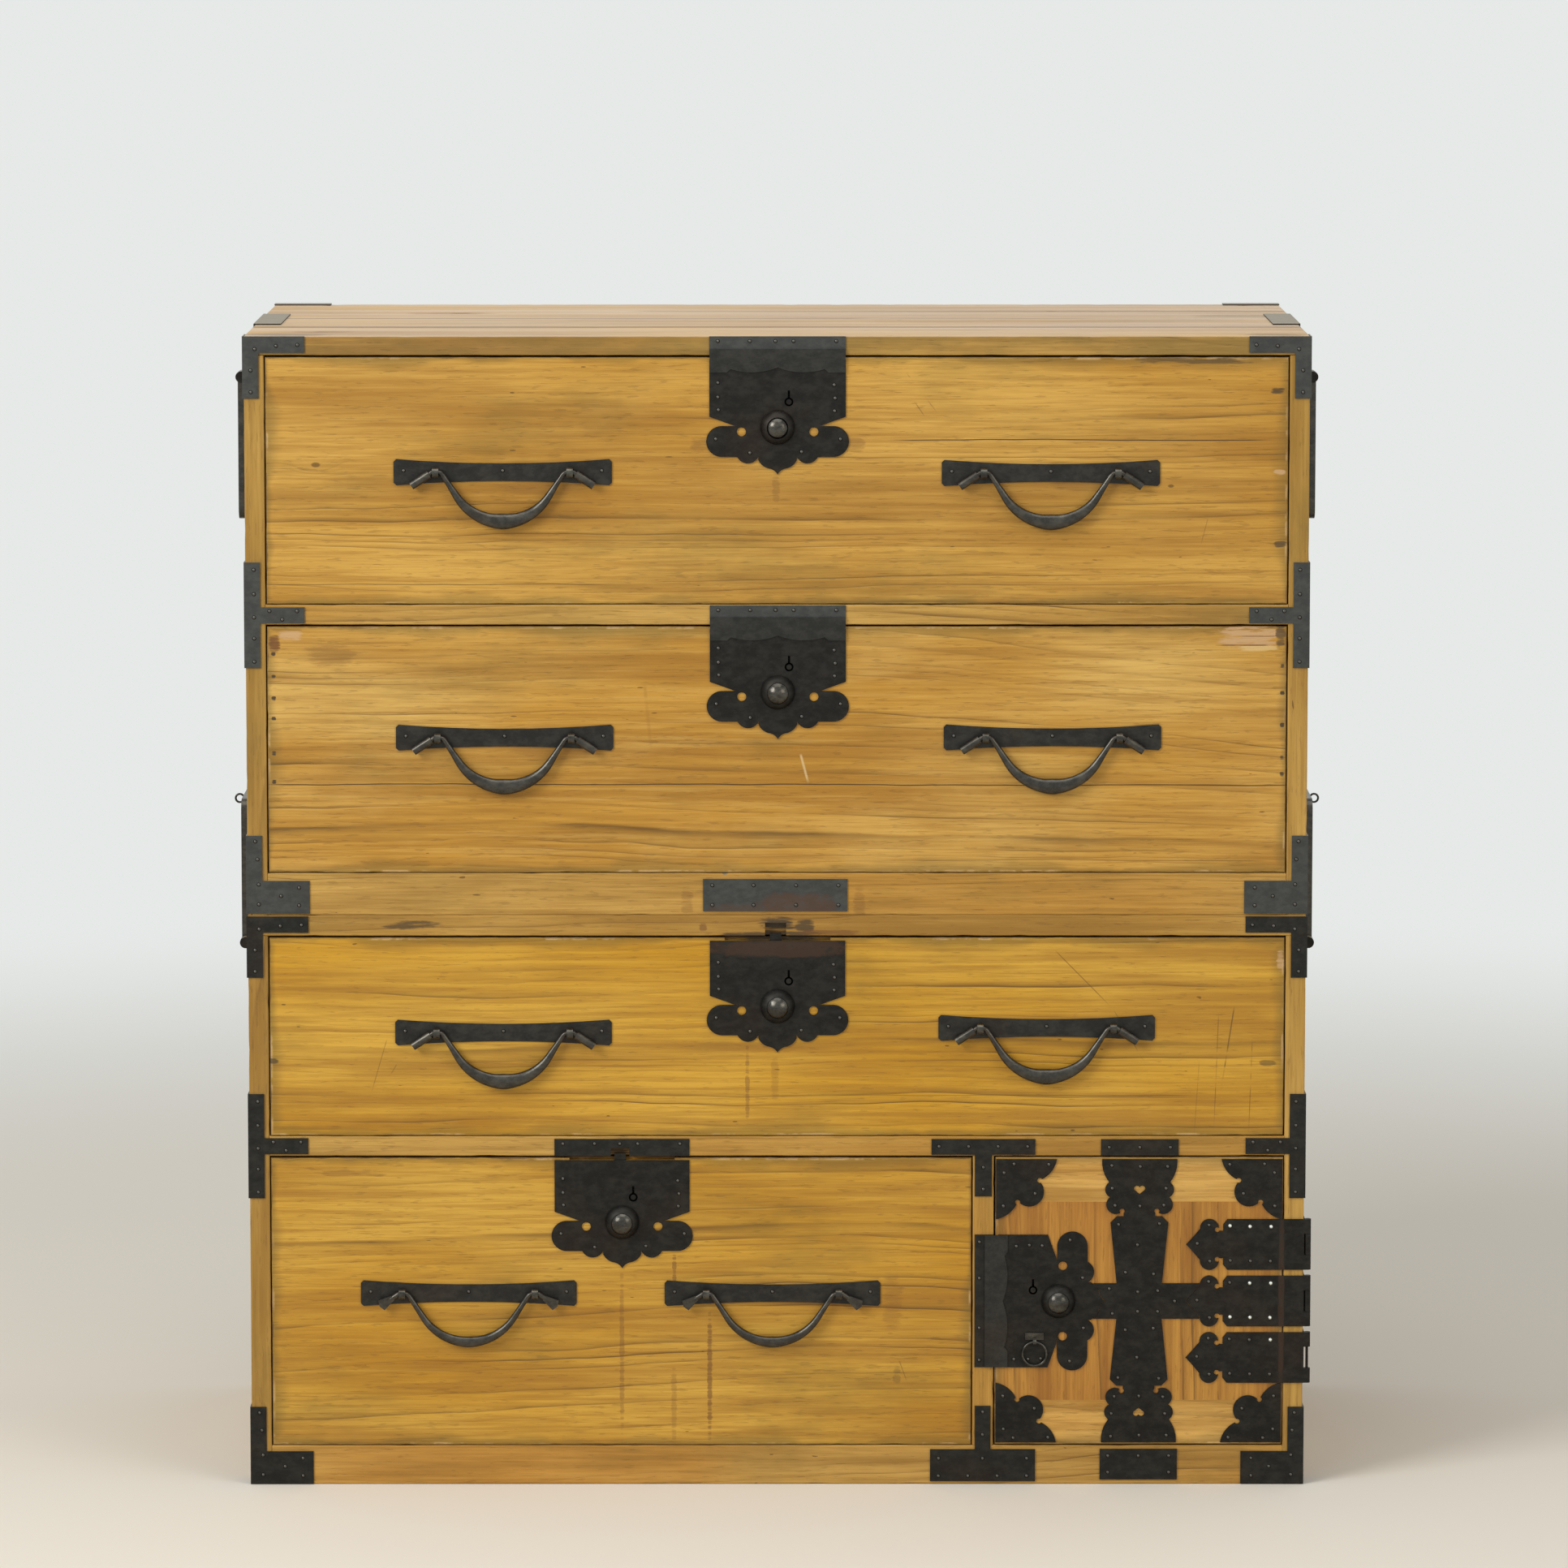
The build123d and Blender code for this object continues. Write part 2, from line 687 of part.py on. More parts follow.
def bail_end(side, fishtail):
    """End of the bail past the eye: a short tube, or a thin neck with a flared flat tail."""
    bend_x = eye_width / 2 + bail_bend_gap
    journal = rod_x(bail_neck_radius, bend_x, side * (post_half_spacing + bend_x / 2), 0, 0)
    tilt = Pos(side * (post_half_spacing + bend_x), 0, 0) * Rot(0, side * (90 + bail_end_angle), 0)
    knee = tilt * Sphere(bail_neck_radius)
    if not fishtail:
        link = Pos(0, 0, bail_link_length / 2) * Cylinder(bail_neck_radius, bail_link_length)
        tube_middle = bail_link_length + bail_end_length / 2
        tube = Pos(0, 0, tube_middle) * Cylinder(bail_end_radius, bail_end_length)
        return journal + knee + tilt * (link + tube)
    link = Pos(0, 0, fishtail_neck / 2) * Cylinder(bail_neck_radius, fishtail_neck)
    flare_start = fishtail_neck - fishtail_root
    flare_end = fishtail_neck + fishtail_length
    flare = Polygon(
        (flare_start, bail_neck_radius), (flare_end, fishtail_end_width / 2), (flare_end + fishtail_point, 0),
        (flare_end, -fishtail_end_width / 2), (flare_start, -bail_neck_radius),
        align=None,
    )
    plane = Plane(origin=(0, -fishtail_thickness / 2, 0), x_dir=(0, 0, 1), z_dir=(0, 1, 0))
    tail = extrude(plane * flare, amount=fishtail_thickness, dir=(0, 1, 0))
    return journal + knee + tilt * (link + tail)


# ---------------------------------------------------------------- drawers
@dataclass(frozen=True)
class Drawer:
    """One wide drawer: where it runs and where its iron sits."""

    name: str
    x_low: float
    x_high: float
    floor: float
    face_height: float
    lock_x: float
    button_below_edge: float
    has_strip: bool
    strip_overhang: float
    plate_drop: float
    button_sunk: float
    bolt_proud: float
    handle_xs: tuple
    handle_below_edge: tuple
    fishtail: bool
    bow_height: float
    bow_depth: float

    @property
    def bottom(self):
        return self.floor + run_gap

    @property
    def top(self):
        return self.bottom + self.face_height

    @property
    def button_z(self):
        return self.top - self.button_below_edge

    @property
    def handle_zs(self):
        return tuple(self.top - drop for drop in self.handle_below_edge)


drawers = [
    Drawer(
        "drawer_1", -inner_half, inner_half, upper_shelf_top, drawer_face_heights[0],
        lock_x=0.6, button_below_edge=66.0, has_strip=True, strip_overhang=7.5, plate_drop=2.5,
        button_sunk=1.2, bolt_proud=0.0, handle_xs=(-257.4, 257.2), handle_below_edge=(108.2, 109.0),
        fishtail=False, bow_height=15.0, bow_depth=10.4,
    ),
    Drawer(
        "drawer_2", -inner_half, inner_half, upper_opening_floor, drawer_face_heights[1],
        lock_x=0.8, button_below_edge=62.4, has_strip=True, strip_overhang=8.6, plate_drop=2.5,
        button_sunk=0.0, bolt_proud=0.0, handle_xs=(-256.6, 259.6), handle_below_edge=(105.4, 105.2),
        fishtail=False, bow_height=15.0, bow_depth=10.4,
    ),
    Drawer(
        "drawer_3", -inner_half, inner_half, lower_shelf_top, drawer_face_heights[2],
        lock_x=0.5, button_below_edge=65.6, has_strip=False, strip_overhang=0.0, plate_drop=3.0,
        button_sunk=0.0, bolt_proud=bolt_stand, handle_xs=(-258.8, 255.2), handle_below_edge=(90.8, 86.4),
        fishtail=False, bow_height=15.0, bow_depth=10.4,
    ),
    Drawer(
        "drawer_4", -inner_half, divider_left, lower_opening_floor, drawer_face_heights[3],
        lock_x=-147.0, button_below_edge=62.0, has_strip=False, strip_overhang=0.0, plate_drop=2.4,
        button_sunk=0.0, bolt_proud=bolt_stand, handle_xs=(-292.8, -4.3), handle_below_edge=(130.4, 130.6),
        fishtail=True, bow_height=10.6, bow_depth=9.0,
    ),
]


def drawer_face_board(drawer):
    """Face board, rabbeted behind each end for the sides and bored for the iron."""
    x_low = drawer.x_low + side_gap
    x_high = drawer.x_high - side_gap
    board = block(x_low, x_high, front_y, front_y + drawer_face, drawer.bottom, drawer.top)
    rabbet_y = front_y + drawer_face - drawer_rabbet
    for inner, outer in ((x_low + drawer_side, x_low), (x_high, x_high - drawer_side)):
        board -= block(outer, inner, rabbet_y, front_y + drawer_face, drawer.bottom, drawer.top)
    lock_place = Pos(drawer.lock_x, front_y, drawer.button_z)
    board -= lock_place * lock_mortise(drawer.button_below_edge)
    if not drawer.has_strip:
        board -= lock_place * plate_slot(drawer.button_below_edge, drawer.plate_drop)
    for handle_x, handle_z in zip(drawer.handle_xs, drawer.handle_zs):
        for side in (-1, 1):
            x = handle_x + side * post_half_spacing
            board -= rod_y(eye_shank_radius, drawer_face * 3, x, front_y, handle_z)
    return board


def drawer_box(drawer):
    """Two sides, a back and a floor behind the face board."""
    x_low = drawer.x_low + side_gap
    x_high = drawer.x_high - side_gap
    side_front = front_y + drawer_face - drawer_rabbet
    rear = carcass_back - drawer_back_gap
    side_top = drawer.top - drawer_side_drop
    floor_front = front_y + drawer_face
    pieces = []
    for low, high in ((x_low, x_low + drawer_side), (x_high - drawer_side, x_high)):
        pieces.append(block(low, high, side_front, rear, drawer.bottom, side_top))
    inner_low = x_low + drawer_side
    inner_high = x_high - drawer_side
    pieces.append(block(inner_low, inner_high, rear - drawer_back, rear, drawer.bottom, side_top))
    floor_top = drawer.bottom + drawer_floor
    pieces.append(block(inner_low, inner_high, floor_front, rear - drawer_back, drawer.bottom, floor_top))
    return pieces


def build_drawer(drawer):
    """Write the nodes of one drawer."""
    edge = drawer.button_below_edge
    lock_place = Pos(drawer.lock_x, front_y, drawer.button_z)
    save(f"{drawer.name}_face", [drawer_face_board(drawer)])
    save(f"{drawer.name}_box", drawer_box(drawer))
    iron_pieces = lock_iron(edge, drawer.strip_overhang, drawer.has_strip, drawer.plate_drop, False)
    save(f"{drawer.name}_lock", [lock_place * piece for piece in iron_pieces])
    save(f"{drawer.name}_lock_button", [lock_place * lock_button(drawer.button_sunk)])
    save(f"{drawer.name}_lock_bolt", [lock_place * lock_bolt(edge, drawer.bolt_proud)])
    fittings = handle_fittings()
    grip = bail(drawer.bow_height, drawer.bow_depth, drawer.fishtail)
    placed = []
    for side, x, z in zip(("left", "right"), drawer.handle_xs, drawer.handle_zs):
        placed += [Pos(x, front_y, z) * piece for piece in fittings]
        save(f"{drawer.name}_handle_{side}", [Pos(x, front_y - bail_stand_off, z) * grip])
    save(f"{drawer.name}_handle_plates", placed)


# ---------------------------------------------------------------- case boards
def side_boards(z_low, z_high):
    """Left and right side boards of one case."""
    left = block(-half_width, -inner_half, front_y, back_y, z_low, z_high)
    right = block(inner_half, half_width, front_y, back_y, z_low, z_high)
    return [left, right]


def top_planks(z_low, z_high):
    """Two planks that make the top board of one case."""
    joint = front_y + top_front_plank
    front = block(-half_width, half_width, front_y, joint, z_low, z_high)
    rear = block(-half_width, half_width, joint, back_y, z_low, z_high)
    return [front, rear]


def bottom_pieces(z_low, rail_height):
    """Front and rear base rails, and the bottom board whose front lip shows over the rail."""
    rail_back = front_y + base_rail_depth
    rail_top = z_low + rail_height
    board_top = rail_top + bottom_lip
    front_rail = block(-inner_half, inner_half, front_y, rail_back, z_low, rail_top)
    rear_rail = block(
        -inner_half, inner_half,
        carcass_back - base_rail_depth, carcass_back, z_low, board_top - bottom_board,
    )
    board = block(-inner_half, inner_half, rail_back, carcass_back, board_top - bottom_board, board_top)
    lip = block(-inner_half, inner_half, front_y, rail_back, rail_top, board_top)
    return [front_rail, rear_rail, board + lip]


def back_planks(z_low, z_high):
    """Two horizontal planks let in between the sides."""
    middle = (z_low + z_high) / 2
    lower = block(-inner_half, inner_half, carcass_back, back_y, z_low, middle)
    upper = block(-inner_half, inner_half, carcass_back, back_y, middle, z_high)
    return [lower, upper]


def shelf_pieces(z_low, x_notch):
    """Front rail, thin dust board and the runners that carry it."""
    z_high = z_low + shelf_rail
    rail_back = front_y + shelf_rail_depth
    rail = block(-inner_half, inner_half, front_y, rail_back, z_low, z_high)
    rail -= Pos(x_notch, front_y, z_low) * strike_notch()
    dust = block(-inner_half, inner_half, rail_back, carcass_back, z_high - dust_board, z_high)
    pieces = [rail, dust]
    runner_top = z_high - dust_board
    for low in (-inner_half, inner_half - shelf_runner_width):
        high = low + shelf_runner_width
        pieces.append(block(low, high, rail_back, carcass_back, z_low, runner_top))
    return pieces


def build_cases():
    """Write the boards of both cases."""
    save("upper_side_boards", side_boards(seam, upper_top_under))
    upper_top = top_planks(upper_top_under, case_top)
    upper_top[0] -= Pos(drawers[0].lock_x, front_y, upper_top_under) * strike_notch()
    save("upper_top_boards", upper_top)
    save("upper_bottom", bottom_pieces(seam, upper_base_rail))
    save("upper_shelf", shelf_pieces(upper_shelf_under, drawers[1].lock_x))
    save("upper_back_boards", back_planks(seam, upper_top_under))

    save("lower_side_boards", side_boards(0, lower_top_under))
    lower_top = top_planks(lower_top_under, seam)
    lower_top[0] -= Pos(drawers[2].lock_x, front_y, lower_top_under) * strike_notch()
    save("lower_top_boards", lower_top)
    save("lower_bottom", bottom_pieces(0, lower_base_rail))
    save("lower_shelf", shelf_pieces(lower_shelf_under, drawers[3].lock_x))
    save("lower_back_boards", back_planks(0, lower_top_under))
    build_divider()


# ---------------------------------------------------------------- door compartment
door_left = divider_right + door_lock_gap
door_right = inner_half - door_hinge_gap
door_low = lower_opening_floor + door_end_gap
door_high = lower_shelf_under - door_end_gap
door_front = front_y - door_proud
door_back = door_front + door_thickness
door_middle = (door_low + door_high) / 2
door_button_x = door_left + door_lock_dome_inset
compartment_front = front_y + door_thickness + small_drawer_setback
compartment_pitch = (opening_heights[3] - (small_drawer_count - 1) * small_shelf) / small_drawer_count


def compartment_floor(index):
    """Floor level of one small compartment, counted from the bottom."""
    return lower_opening_floor + index * (compartment_pitch + small_shelf)


def door_local(shape):
    """Turn a lock drawn for a drawer so that its bolt points left, and place it on the door."""
    return Pos(door_button_x, door_front, door_middle) * Rot(0, -90, 0) * shape


def build_divider():
    """Upright between the narrow drawer and the door, with the small shelves beside it."""
    upright = block(
        divider_left, divider_right, front_y, carcass_back, lower_opening_floor, lower_shelf_under
    )
    upright -= Pos(divider_right, front_y, door_middle) * Rot(0, -90, 0) * strike_notch()
    pieces = [upright]
    runner_top = lower_shelf_under + shelf_rail - dust_board
    pieces.append(block(
        divider_left, divider_right, front_y + shelf_rail_depth, carcass_back, lower_shelf_under, runner_top
    ))
    for index in range(1, small_drawer_count):
        top = compartment_floor(index)
        pieces.append(block(divider_right, inner_half, compartment_front, carcass_back, top - small_shelf, top))
    save("lower_divider", pieces)


def build_small_drawers():
    """Three small drawers behind the door, each with a ring pull on a round rosette."""
    boards = []
    pulls = []
    left = divider_right + small_drawer_gap
    right = inner_half - small_drawer_gap
    rear = carcass_back - drawer_back_gap
    inner_left = left + small_drawer_board
    inner_right = right - small_drawer_board
    face_back = compartment_front + small_drawer_face
    for index in range(small_drawer_count):
        bottom = compartment_floor(index) + run_gap
        top = compartment_floor(index) + compartment_pitch - small_drawer_gap
        side_top = top - small_side_drop
        boards.append(block(left, right, compartment_front, face_back, bottom, top))
        boards.append(block(left, inner_left, face_back, rear, bottom, side_top))
        boards.append(block(inner_right, right, face_back, rear, bottom, side_top))
        boards.append(block(inner_left, inner_right, rear - small_drawer_board, rear, bottom, side_top))
        boards.append(block(
            inner_left, inner_right, face_back, rear - small_drawer_board, bottom, bottom + small_drawer_floor
        ))
        middle_x = (left + right) / 2
        pull_z = (bottom + top) / 2 + small_rosette_rise
        plate_front = compartment_front - iron
        rosette = rod_y(small_rosette_radius, iron, middle_x, compartment_front - iron / 2, pull_z)
        knob_y = plate_front - small_knob_length / 2
        knob = rod_y(small_knob_radius, small_knob_length, middle_x, knob_y, pull_z)
        ring_y = plate_front - small_ring_stand
        ring_z = pull_z - small_pull_radius
        ring = Pos(middle_x, ring_y, ring_z) * Rot(90, 0, 0) * Torus(small_pull_radius, small_pull_wire)
        knob -= ring
        pulls += [rosette + knob, ring]
    save("small_drawers", boards)
    save("small_drawer_pulls", pulls)


# ---------------------------------------------------------------- door
def door_boards():
    """Two upright boards held between a top and a bottom clamp board."""
    low_clamp = block(door_left, door_right, door_front, door_back, door_low, door_low + door_clamp)
    high_clamp = block(door_left, door_right, door_front, door_back, door_high - door_clamp, door_high)
    panel_low = door_low + door_clamp
    panel_high = door_high - door_clamp
    left = block(door_left, door_strap_x, door_front, door_back, panel_low, panel_high)
    right = block(door_strap_x, door_right, door_front, door_back, panel_low, panel_high)
    left -= door_local(lock_mortise(door_lock_dome_inset))
    return [low_clamp, high_clamp, left, right]


def heart_outline():
    """Small boar's-eye heart, point down, about its own centre."""
    lobes = Pos(-2.5, 1.4) * Circle(2.7) + Pos(2.5, 1.4) * Circle(2.7)
    point = Polygon((-4.9, 0.2), (0, -4.1), (4.9, 0.2), (0, 2.4), align=None)
    return lobes + point


def half_strap_outline():
    """Upper half of the upright strap: tapering body, waist, two pairs of lobes, flared head.

    z = 0 is the level of the door's middle; the head ends at the top edge of the door.
    """
    top = (door_high - door_low) / 2 - door_iron_end_gap
    head_low = top - door_finial_height
    neck = head_low - strap_neck_gap
    shoulder = neck - strap_shoulder_drop
    throat = head_low + strap_throat_rise
    bulge_x, bulge_z = strap_side_bulge[0], top - strap_side_bulge[1]
    foot_x, foot_z = strap_side_foot[0], top - strap_side_foot[1]
    body = Polygon(
        (-door_strap_waist, door_strap_height / 2), (-door_strap_shoulder, shoulder),
        (-door_strap_waist, neck), (door_strap_waist, neck), (door_strap_shoulder, shoulder),
        (door_strap_waist, door_strap_height / 2),
        align=None,
    )
    head = make_face([
        Line((-door_finial_half_width, top), (door_finial_half_width, top)),
        ThreePointArc((door_finial_half_width, top), (bulge_x, bulge_z), (foot_x, foot_z)),
        Line((foot_x, foot_z), (strap_throat_half, throat)),
        Line((strap_throat_half, throat), (-strap_throat_half, throat)),
        Line((-strap_throat_half, throat), (-foot_x, foot_z)),
        ThreePointArc((-foot_x, foot_z), (-bulge_x, bulge_z), (-door_finial_half_width, top)),
    ])
    outline = body + head + rectangle(-strap_bridge_half, strap_bridge_half, shoulder, top)
    for side in (-1, 1):
        for x, drop, radius in strap_lobes:
            outline += Pos(side * x, top - drop) * Circle(radius)
    for side in (-1, 1):
        outline -= Pos(side * strap_hole[0], top - strap_hole[1]) * Circle(small_hole_radius)
    return outline - Pos(0, top - heart_drop) * heart_outline()


def half_strap_nails():
    """Nail places of the upper half of the upright strap."""
    top = (door_high - door_low) / 2 - door_iron_end_gap
    drops = [(-26.5, 6), (0.5, 7), (26.5, 7), (-26, 28), (25, 28), (-23.3, 44.5), (0.3, 45), (23, 44.2)]
    drops += [(-19.8, 62.7), (19, 62), (-1.8, 82.4), (-13, 109), (13.6, 110.5)]
    return [(x, top - drop) for x, drop in drops]


def corner_outline():
    """Lobed corner iron for the upper right corner of the door, corner at the origin."""
    quadrant = rectangle(-door_corner_size, 0, -door_corner_size, 0)
    shape = Polygon(*corner_core, align=None)
    for x, z, radius in corner_circles:
        shape += Pos(x, z) * Circle(radius)
    shape = shape & quadrant
    for x, z in corner_holes:
        shape -= Pos(x, z) * Circle(small_hole_radius)
    return shape



def build_door_iron():
    """Upright strap, cross strap and four corner irons, with their nails."""
    pieces = []
    nail_points = []
    for flip in (1, -1):
        half = half_strap_outline()
        if flip < 0:
            half = mirror(half, about=Plane.XZ)
        pieces.append(front_sheet(Pos(door_strap_x, door_middle) * half, door_front, iron))
        nail_points += [(door_strap_x + x, door_middle + flip * z) for x, z in half_strap_nails()]
    cross_left = door_button_x + lock_tip
    cross = rectangle(
        cross_left - cross_strap_lap, half_width - hinge_lobe_x,
        door_middle - door_strap_height / 2, door_middle + door_strap_height / 2,
    )
    lock_shape = Pos(door_button_x, door_middle) * Rot(0, 0, 90) * lock_outline(door_lock_dome_inset)
    hinge_shape = Pos(hinge_x, door_middle) * hinge_outline()
    cross -= offset(lock_shape, sheet_gap)
    cross -= offset(hinge_shape, sheet_gap)
    cross = cross.faces().sort_by(SortBy.AREA)[-1]
    pieces.append(front_sheet(cross, door_front, iron))
    nail_points += [(cross_left + x, door_middle + z) for x, z in cross_nails]
    for side_x, edge_x in ((1, door_right - door_iron_side_gap), (-1, door_left + door_iron_side_gap)):
        for side_z, edge_z in ((1, door_high - door_iron_end_gap), (-1, door_low + door_iron_end_gap)):
            shape = corner_outline()
            if side_x < 0:
                shape = mirror(shape, about=Plane.YZ)
            if side_z < 0:
                shape = mirror(shape, about=Plane.XZ)
            pieces.append(front_sheet(Pos(edge_x, edge_z) * shape, door_front, iron))
            nail_points += [(edge_x + side_x * x, edge_z + side_z * z) for x, z in corner_nails]
    pieces += nails(nail_points, door_front - iron)
    save("door_straps", pieces)


# The hinge axis stands off the right-hand side of the case, level with the front.
hinge_x = half_width + hinge_side_clearance + hinge_barrel_radius
hinge_y = door_front - iron + hinge_barrel_radius
hinge_zs = (door_middle + hinge_spacing, door_middle, door_middle - hinge_spacing)


def hinge_outline():
    """Strap hinge in front view: straight body and a lobed head with an ogee tip, knuckle at right."""
    half = hinge_height / 2
    shift = half_width - hinge_x
    right = shift + sheet_gap
    left = shift - hinge_reach
    corner_x, corner_z = hinge_corner
    body = Polygon(
        (right, half), (left + corner_x, half), (left, half - corner_z),
        (left, corner_z - half), (left + corner_x, -half), (right, -half),
        align=None,
    )
    tip = (shift - hinge_tip_reach, 0)
    cusp_x, cusp_z = shift - hinge_cusp[0], hinge_cusp[1]
    flank_x, flank_z = shift - hinge_tip_flank[0], hinge_tip_flank[1]
    head = make_face([
        Line((cusp_x, cusp_z), (left, hinge_neck_half)),
        Line((left, hinge_neck_half), (left, -hinge_neck_half)),
        Line((left, -hinge_neck_half), (cusp_x, -cusp_z)),
        ThreePointArc((cusp_x, -cusp_z), (flank_x, -flank_z), tip),
        ThreePointArc(tip, (flank_x, flank_z), (cusp_x, cusp_z)),
    ])
    outline = body + head
    for side in (-1, 1):
        outline += Pos(shift - hinge_lobe_x, side * hinge_lobe_z) * Circle(hinge_lobe_radius)
    for side in (-1, 1):
        outline -= Pos(shift - hinge_hole[0], side * hinge_hole[1]) * Circle(small_hole_radius)
    return outline


def build_hinges():
    """Three strap hinges on the door and their leaves and pins on the case."""
    half = hinge_height / 2
    bore = hinge_pin_radius + hinge_bore_clearance
    straps = []
    leaves = []
    for index, z in enumerate(hinge_zs):
        strap = front_sheet(Pos(hinge_x, z) * hinge_outline(), door_front, iron)
        for side in (-1, 1):
            barrel_z = z + side * (half - hinge_end_barrel / 2)
            barrel = Pos(hinge_x, hinge_y, barrel_z) * Cylinder(hinge_barrel_radius, hinge_end_barrel)
            tongue = block(
                half_width, hinge_x, door_front - iron, door_front,
                barrel_z - hinge_end_barrel / 2, barrel_z + hinge_end_barrel / 2,
            )
            strap += barrel + tongue
        strap -= Pos(hinge_x, hinge_y, z) * Cylinder(bore, 2 * hinge_height)
        straps.append(strap)
        straps += nails([(half_width + x, z + dz) for x, dz in hinge_nails], door_front - iron)
        knuckle_half = half - hinge_end_barrel - hinge_barrel_gap
        leaf_front = hinge_y + hinge_barrel_radius + sheet_gap
        leaf = block(
            half_width, half_width + hinge_leaf, leaf_front, leaf_front + hinge_leaf_length, z - half, z + half
        )
        if index < 2:
            leaf += block(
                half_width, half_width + hinge_leaf, hinge_y, leaf_front, z - knuckle_half, z + knuckle_half
            )
            leaf += block(
                half_width, hinge_x, hinge_y, hinge_y + hinge_leaf, z - knuckle_half, z + knuckle_half
            )
            leaf += Pos(hinge_x, hinge_y, z) * Cylinder(hinge_barrel_radius, 2 * knuckle_half)
            leaf -= Pos(hinge_x, hinge_y, z) * Cylinder(hinge_pin_radius, hinge_height)
        leaves.append(leaf)
        leaves.append(Pos(hinge_x, hinge_y, z) * Cylinder(hinge_pin_radius, hinge_height))
        for y, dz in hinge_leaf_nails:
            place = Pos(half_width + hinge_leaf, leaf_front + y, z + dz) * Rot(0, 0, 90)
            leaves.append(place * head)
    save("door_hinge_straps", straps)
    save("door_hinge_leaves", leaves)


pull_eye_x = door_button_x + pull_ring_x
pull_eye_z = door_middle - pull_ring_drop + pull_ring_radius
pull_eye_y = door_front - iron - pull_stand


def build_door():
    """Write every node of the door."""
    save("door_boards", door_boards())
    build_door_iron()
    build_hinges()
    lock_pieces = lock_iron(door_lock_dome_inset, 10.0, True, 2.5, True)
    placed = [door_local(piece) for piece in lock_pieces]
    bracket = block(
        pull_eye_x - pull_bracket_width / 2, pull_eye_x + pull_bracket_width / 2,
        door_front - iron - pull_bracket_thickness, door_front - iron,
        pull_eye_z + pull_bracket_lift, pull_eye_z + pull_bracket_lift + pull_bracket_height,
    )
    eye = rod_x(pull_ring_wire + pull_eye_wall, pull_eye_width, pull_eye_x, pull_eye_y, pull_eye_z)
    eye += block(
        pull_eye_x - pull_eye_width / 2, pull_eye_x + pull_eye_width / 2,
        pull_eye_y - 1.0, door_front - iron, pull_eye_z, pull_eye_z + pull_eye_web_height,
    )
    bore = pull_ring_wire + pull_eye_play
    eye -= rod_x(bore, 2 * pull_eye_width, pull_eye_x, pull_eye_y, pull_eye_z)
    placed.append(bracket + eye)
    save("door_lock", placed)
    save("door_lock_button", [door_local(lock_button(0.0))])
    save("door_lock_bolt", [door_local(lock_bolt(door_lock_dome_inset, 0.0))])
    ring = Rot(90, 0, 0) * Torus(pull_ring_radius, pull_ring_wire)
    save("door_pull_ring", [Pos(pull_eye_x, pull_eye_y, pull_eye_z - pull_ring_radius) * ring])


# ---------------------------------------------------------------- case iron
def wrapped_iron(front_outline, side, returns):
    """Front sheet with flanges bent onto the side board; returns lists (z_low, z_high) of flanges."""
    piece = front_sheet(front_outline, front_y, iron)
    for z_low, z_high in returns:
        flange = block(half_width, half_width + iron, front_y - iron, front_y + side_return, z_low, z_high)
        piece += flange if side > 0 else mirror(flange, about=Plane.YZ)
    return piece


def sided(side, x_low, x_high, z_low, z_high):
    """Rectangle measured inward from the outer face of the left or right side."""
    outer = half_width + iron
    if side > 0:
        return rectangle(outer - x_high, outer - x_low, z_low, z_high)
    return rectangle(-outer + x_low, -outer + x_high, z_low, z_high)


def sided_nails(side, places):
    """Nail places measured inward from the outer face of the left or right side."""
    outer = half_width + iron
    return [(side * (outer - inward), z) for inward, z in places]


def corner_iron(side, top_level, down):
    """L-shaped iron at a top corner of one case."""
    low = top_level - down
    outline = sided(side, 0, iron_arm_length, top_level - iron_arm, top_level)
    outline += sided(side, 0, iron_arm, low, top_level)
    piece = wrapped_iron(outline, side, [(low, top_level)])
    places = [(inward, top_level + drop) for inward, drop in corner_nail_drops]
    places.append((corner_low_nail[0], low + corner_low_nail[1]))
    return [piece] + nails(sided_nails(side, places), front_y - iron)


def tee_iron(side, rail_middle):
    """T-shaped iron where a rail meets the side."""
    low = rail_middle - tee_height / 2
    high = rail_middle + tee_height / 2
    outline = sided(side, 0, iron_arm, low, high)
    outline += sided(side, 0, tee_arm_length, rail_middle - tee_arm_half, rail_middle + tee_arm_half)
    piece = wrapped_iron(outline, side, [(low, high)])
    places = [(inward, rail_middle + offset) for inward, offset in tee_nails]
    return [piece] + nails(sided_nails(side, places), front_y - iron)


def base_iron(side, base):
    """Wide iron at a bottom corner of one case, with a rising arm."""
    wide_top = base + base_iron_height
    high = wide_top + base_iron_rise
    outline = sided(side, 0, base_iron_length, base, wide_top) + sided(side, 0, iron_arm, base, high)
    piece = wrapped_iron(outline, side, [(base, high)])
    places = [(inward, base + rise) for inward, rise in base_iron_nails]
    return [piece] + nails(sided_nails(side, places), front_y - iron)


def rear_corner_iron(side, top_level):
    """Bent iron over a rear top corner: a strip on the top face and a plate on the back."""
    outer = half_width if side > 0 else -half_width
    inner = outer - side * rear_iron_length
    low, high = min(outer, inner), max(outer, inner)
    on_top = block(low, high, back_y - rear_iron_lap, back_y + iron, top_level, top_level + iron)
    on_back = block(low, high, back_y, back_y + iron, top_level - rear_iron_drop, top_level)
    return on_top + on_back


def plain_iron(x_low, x_high, z_low, z_high, places):
    """Flat rectangular iron on the front, with its nails."""
    piece = front_sheet(rectangle(x_low, x_high, z_low, z_high), front_y, iron)
    return [piece] + nails(places, front_y - iron)


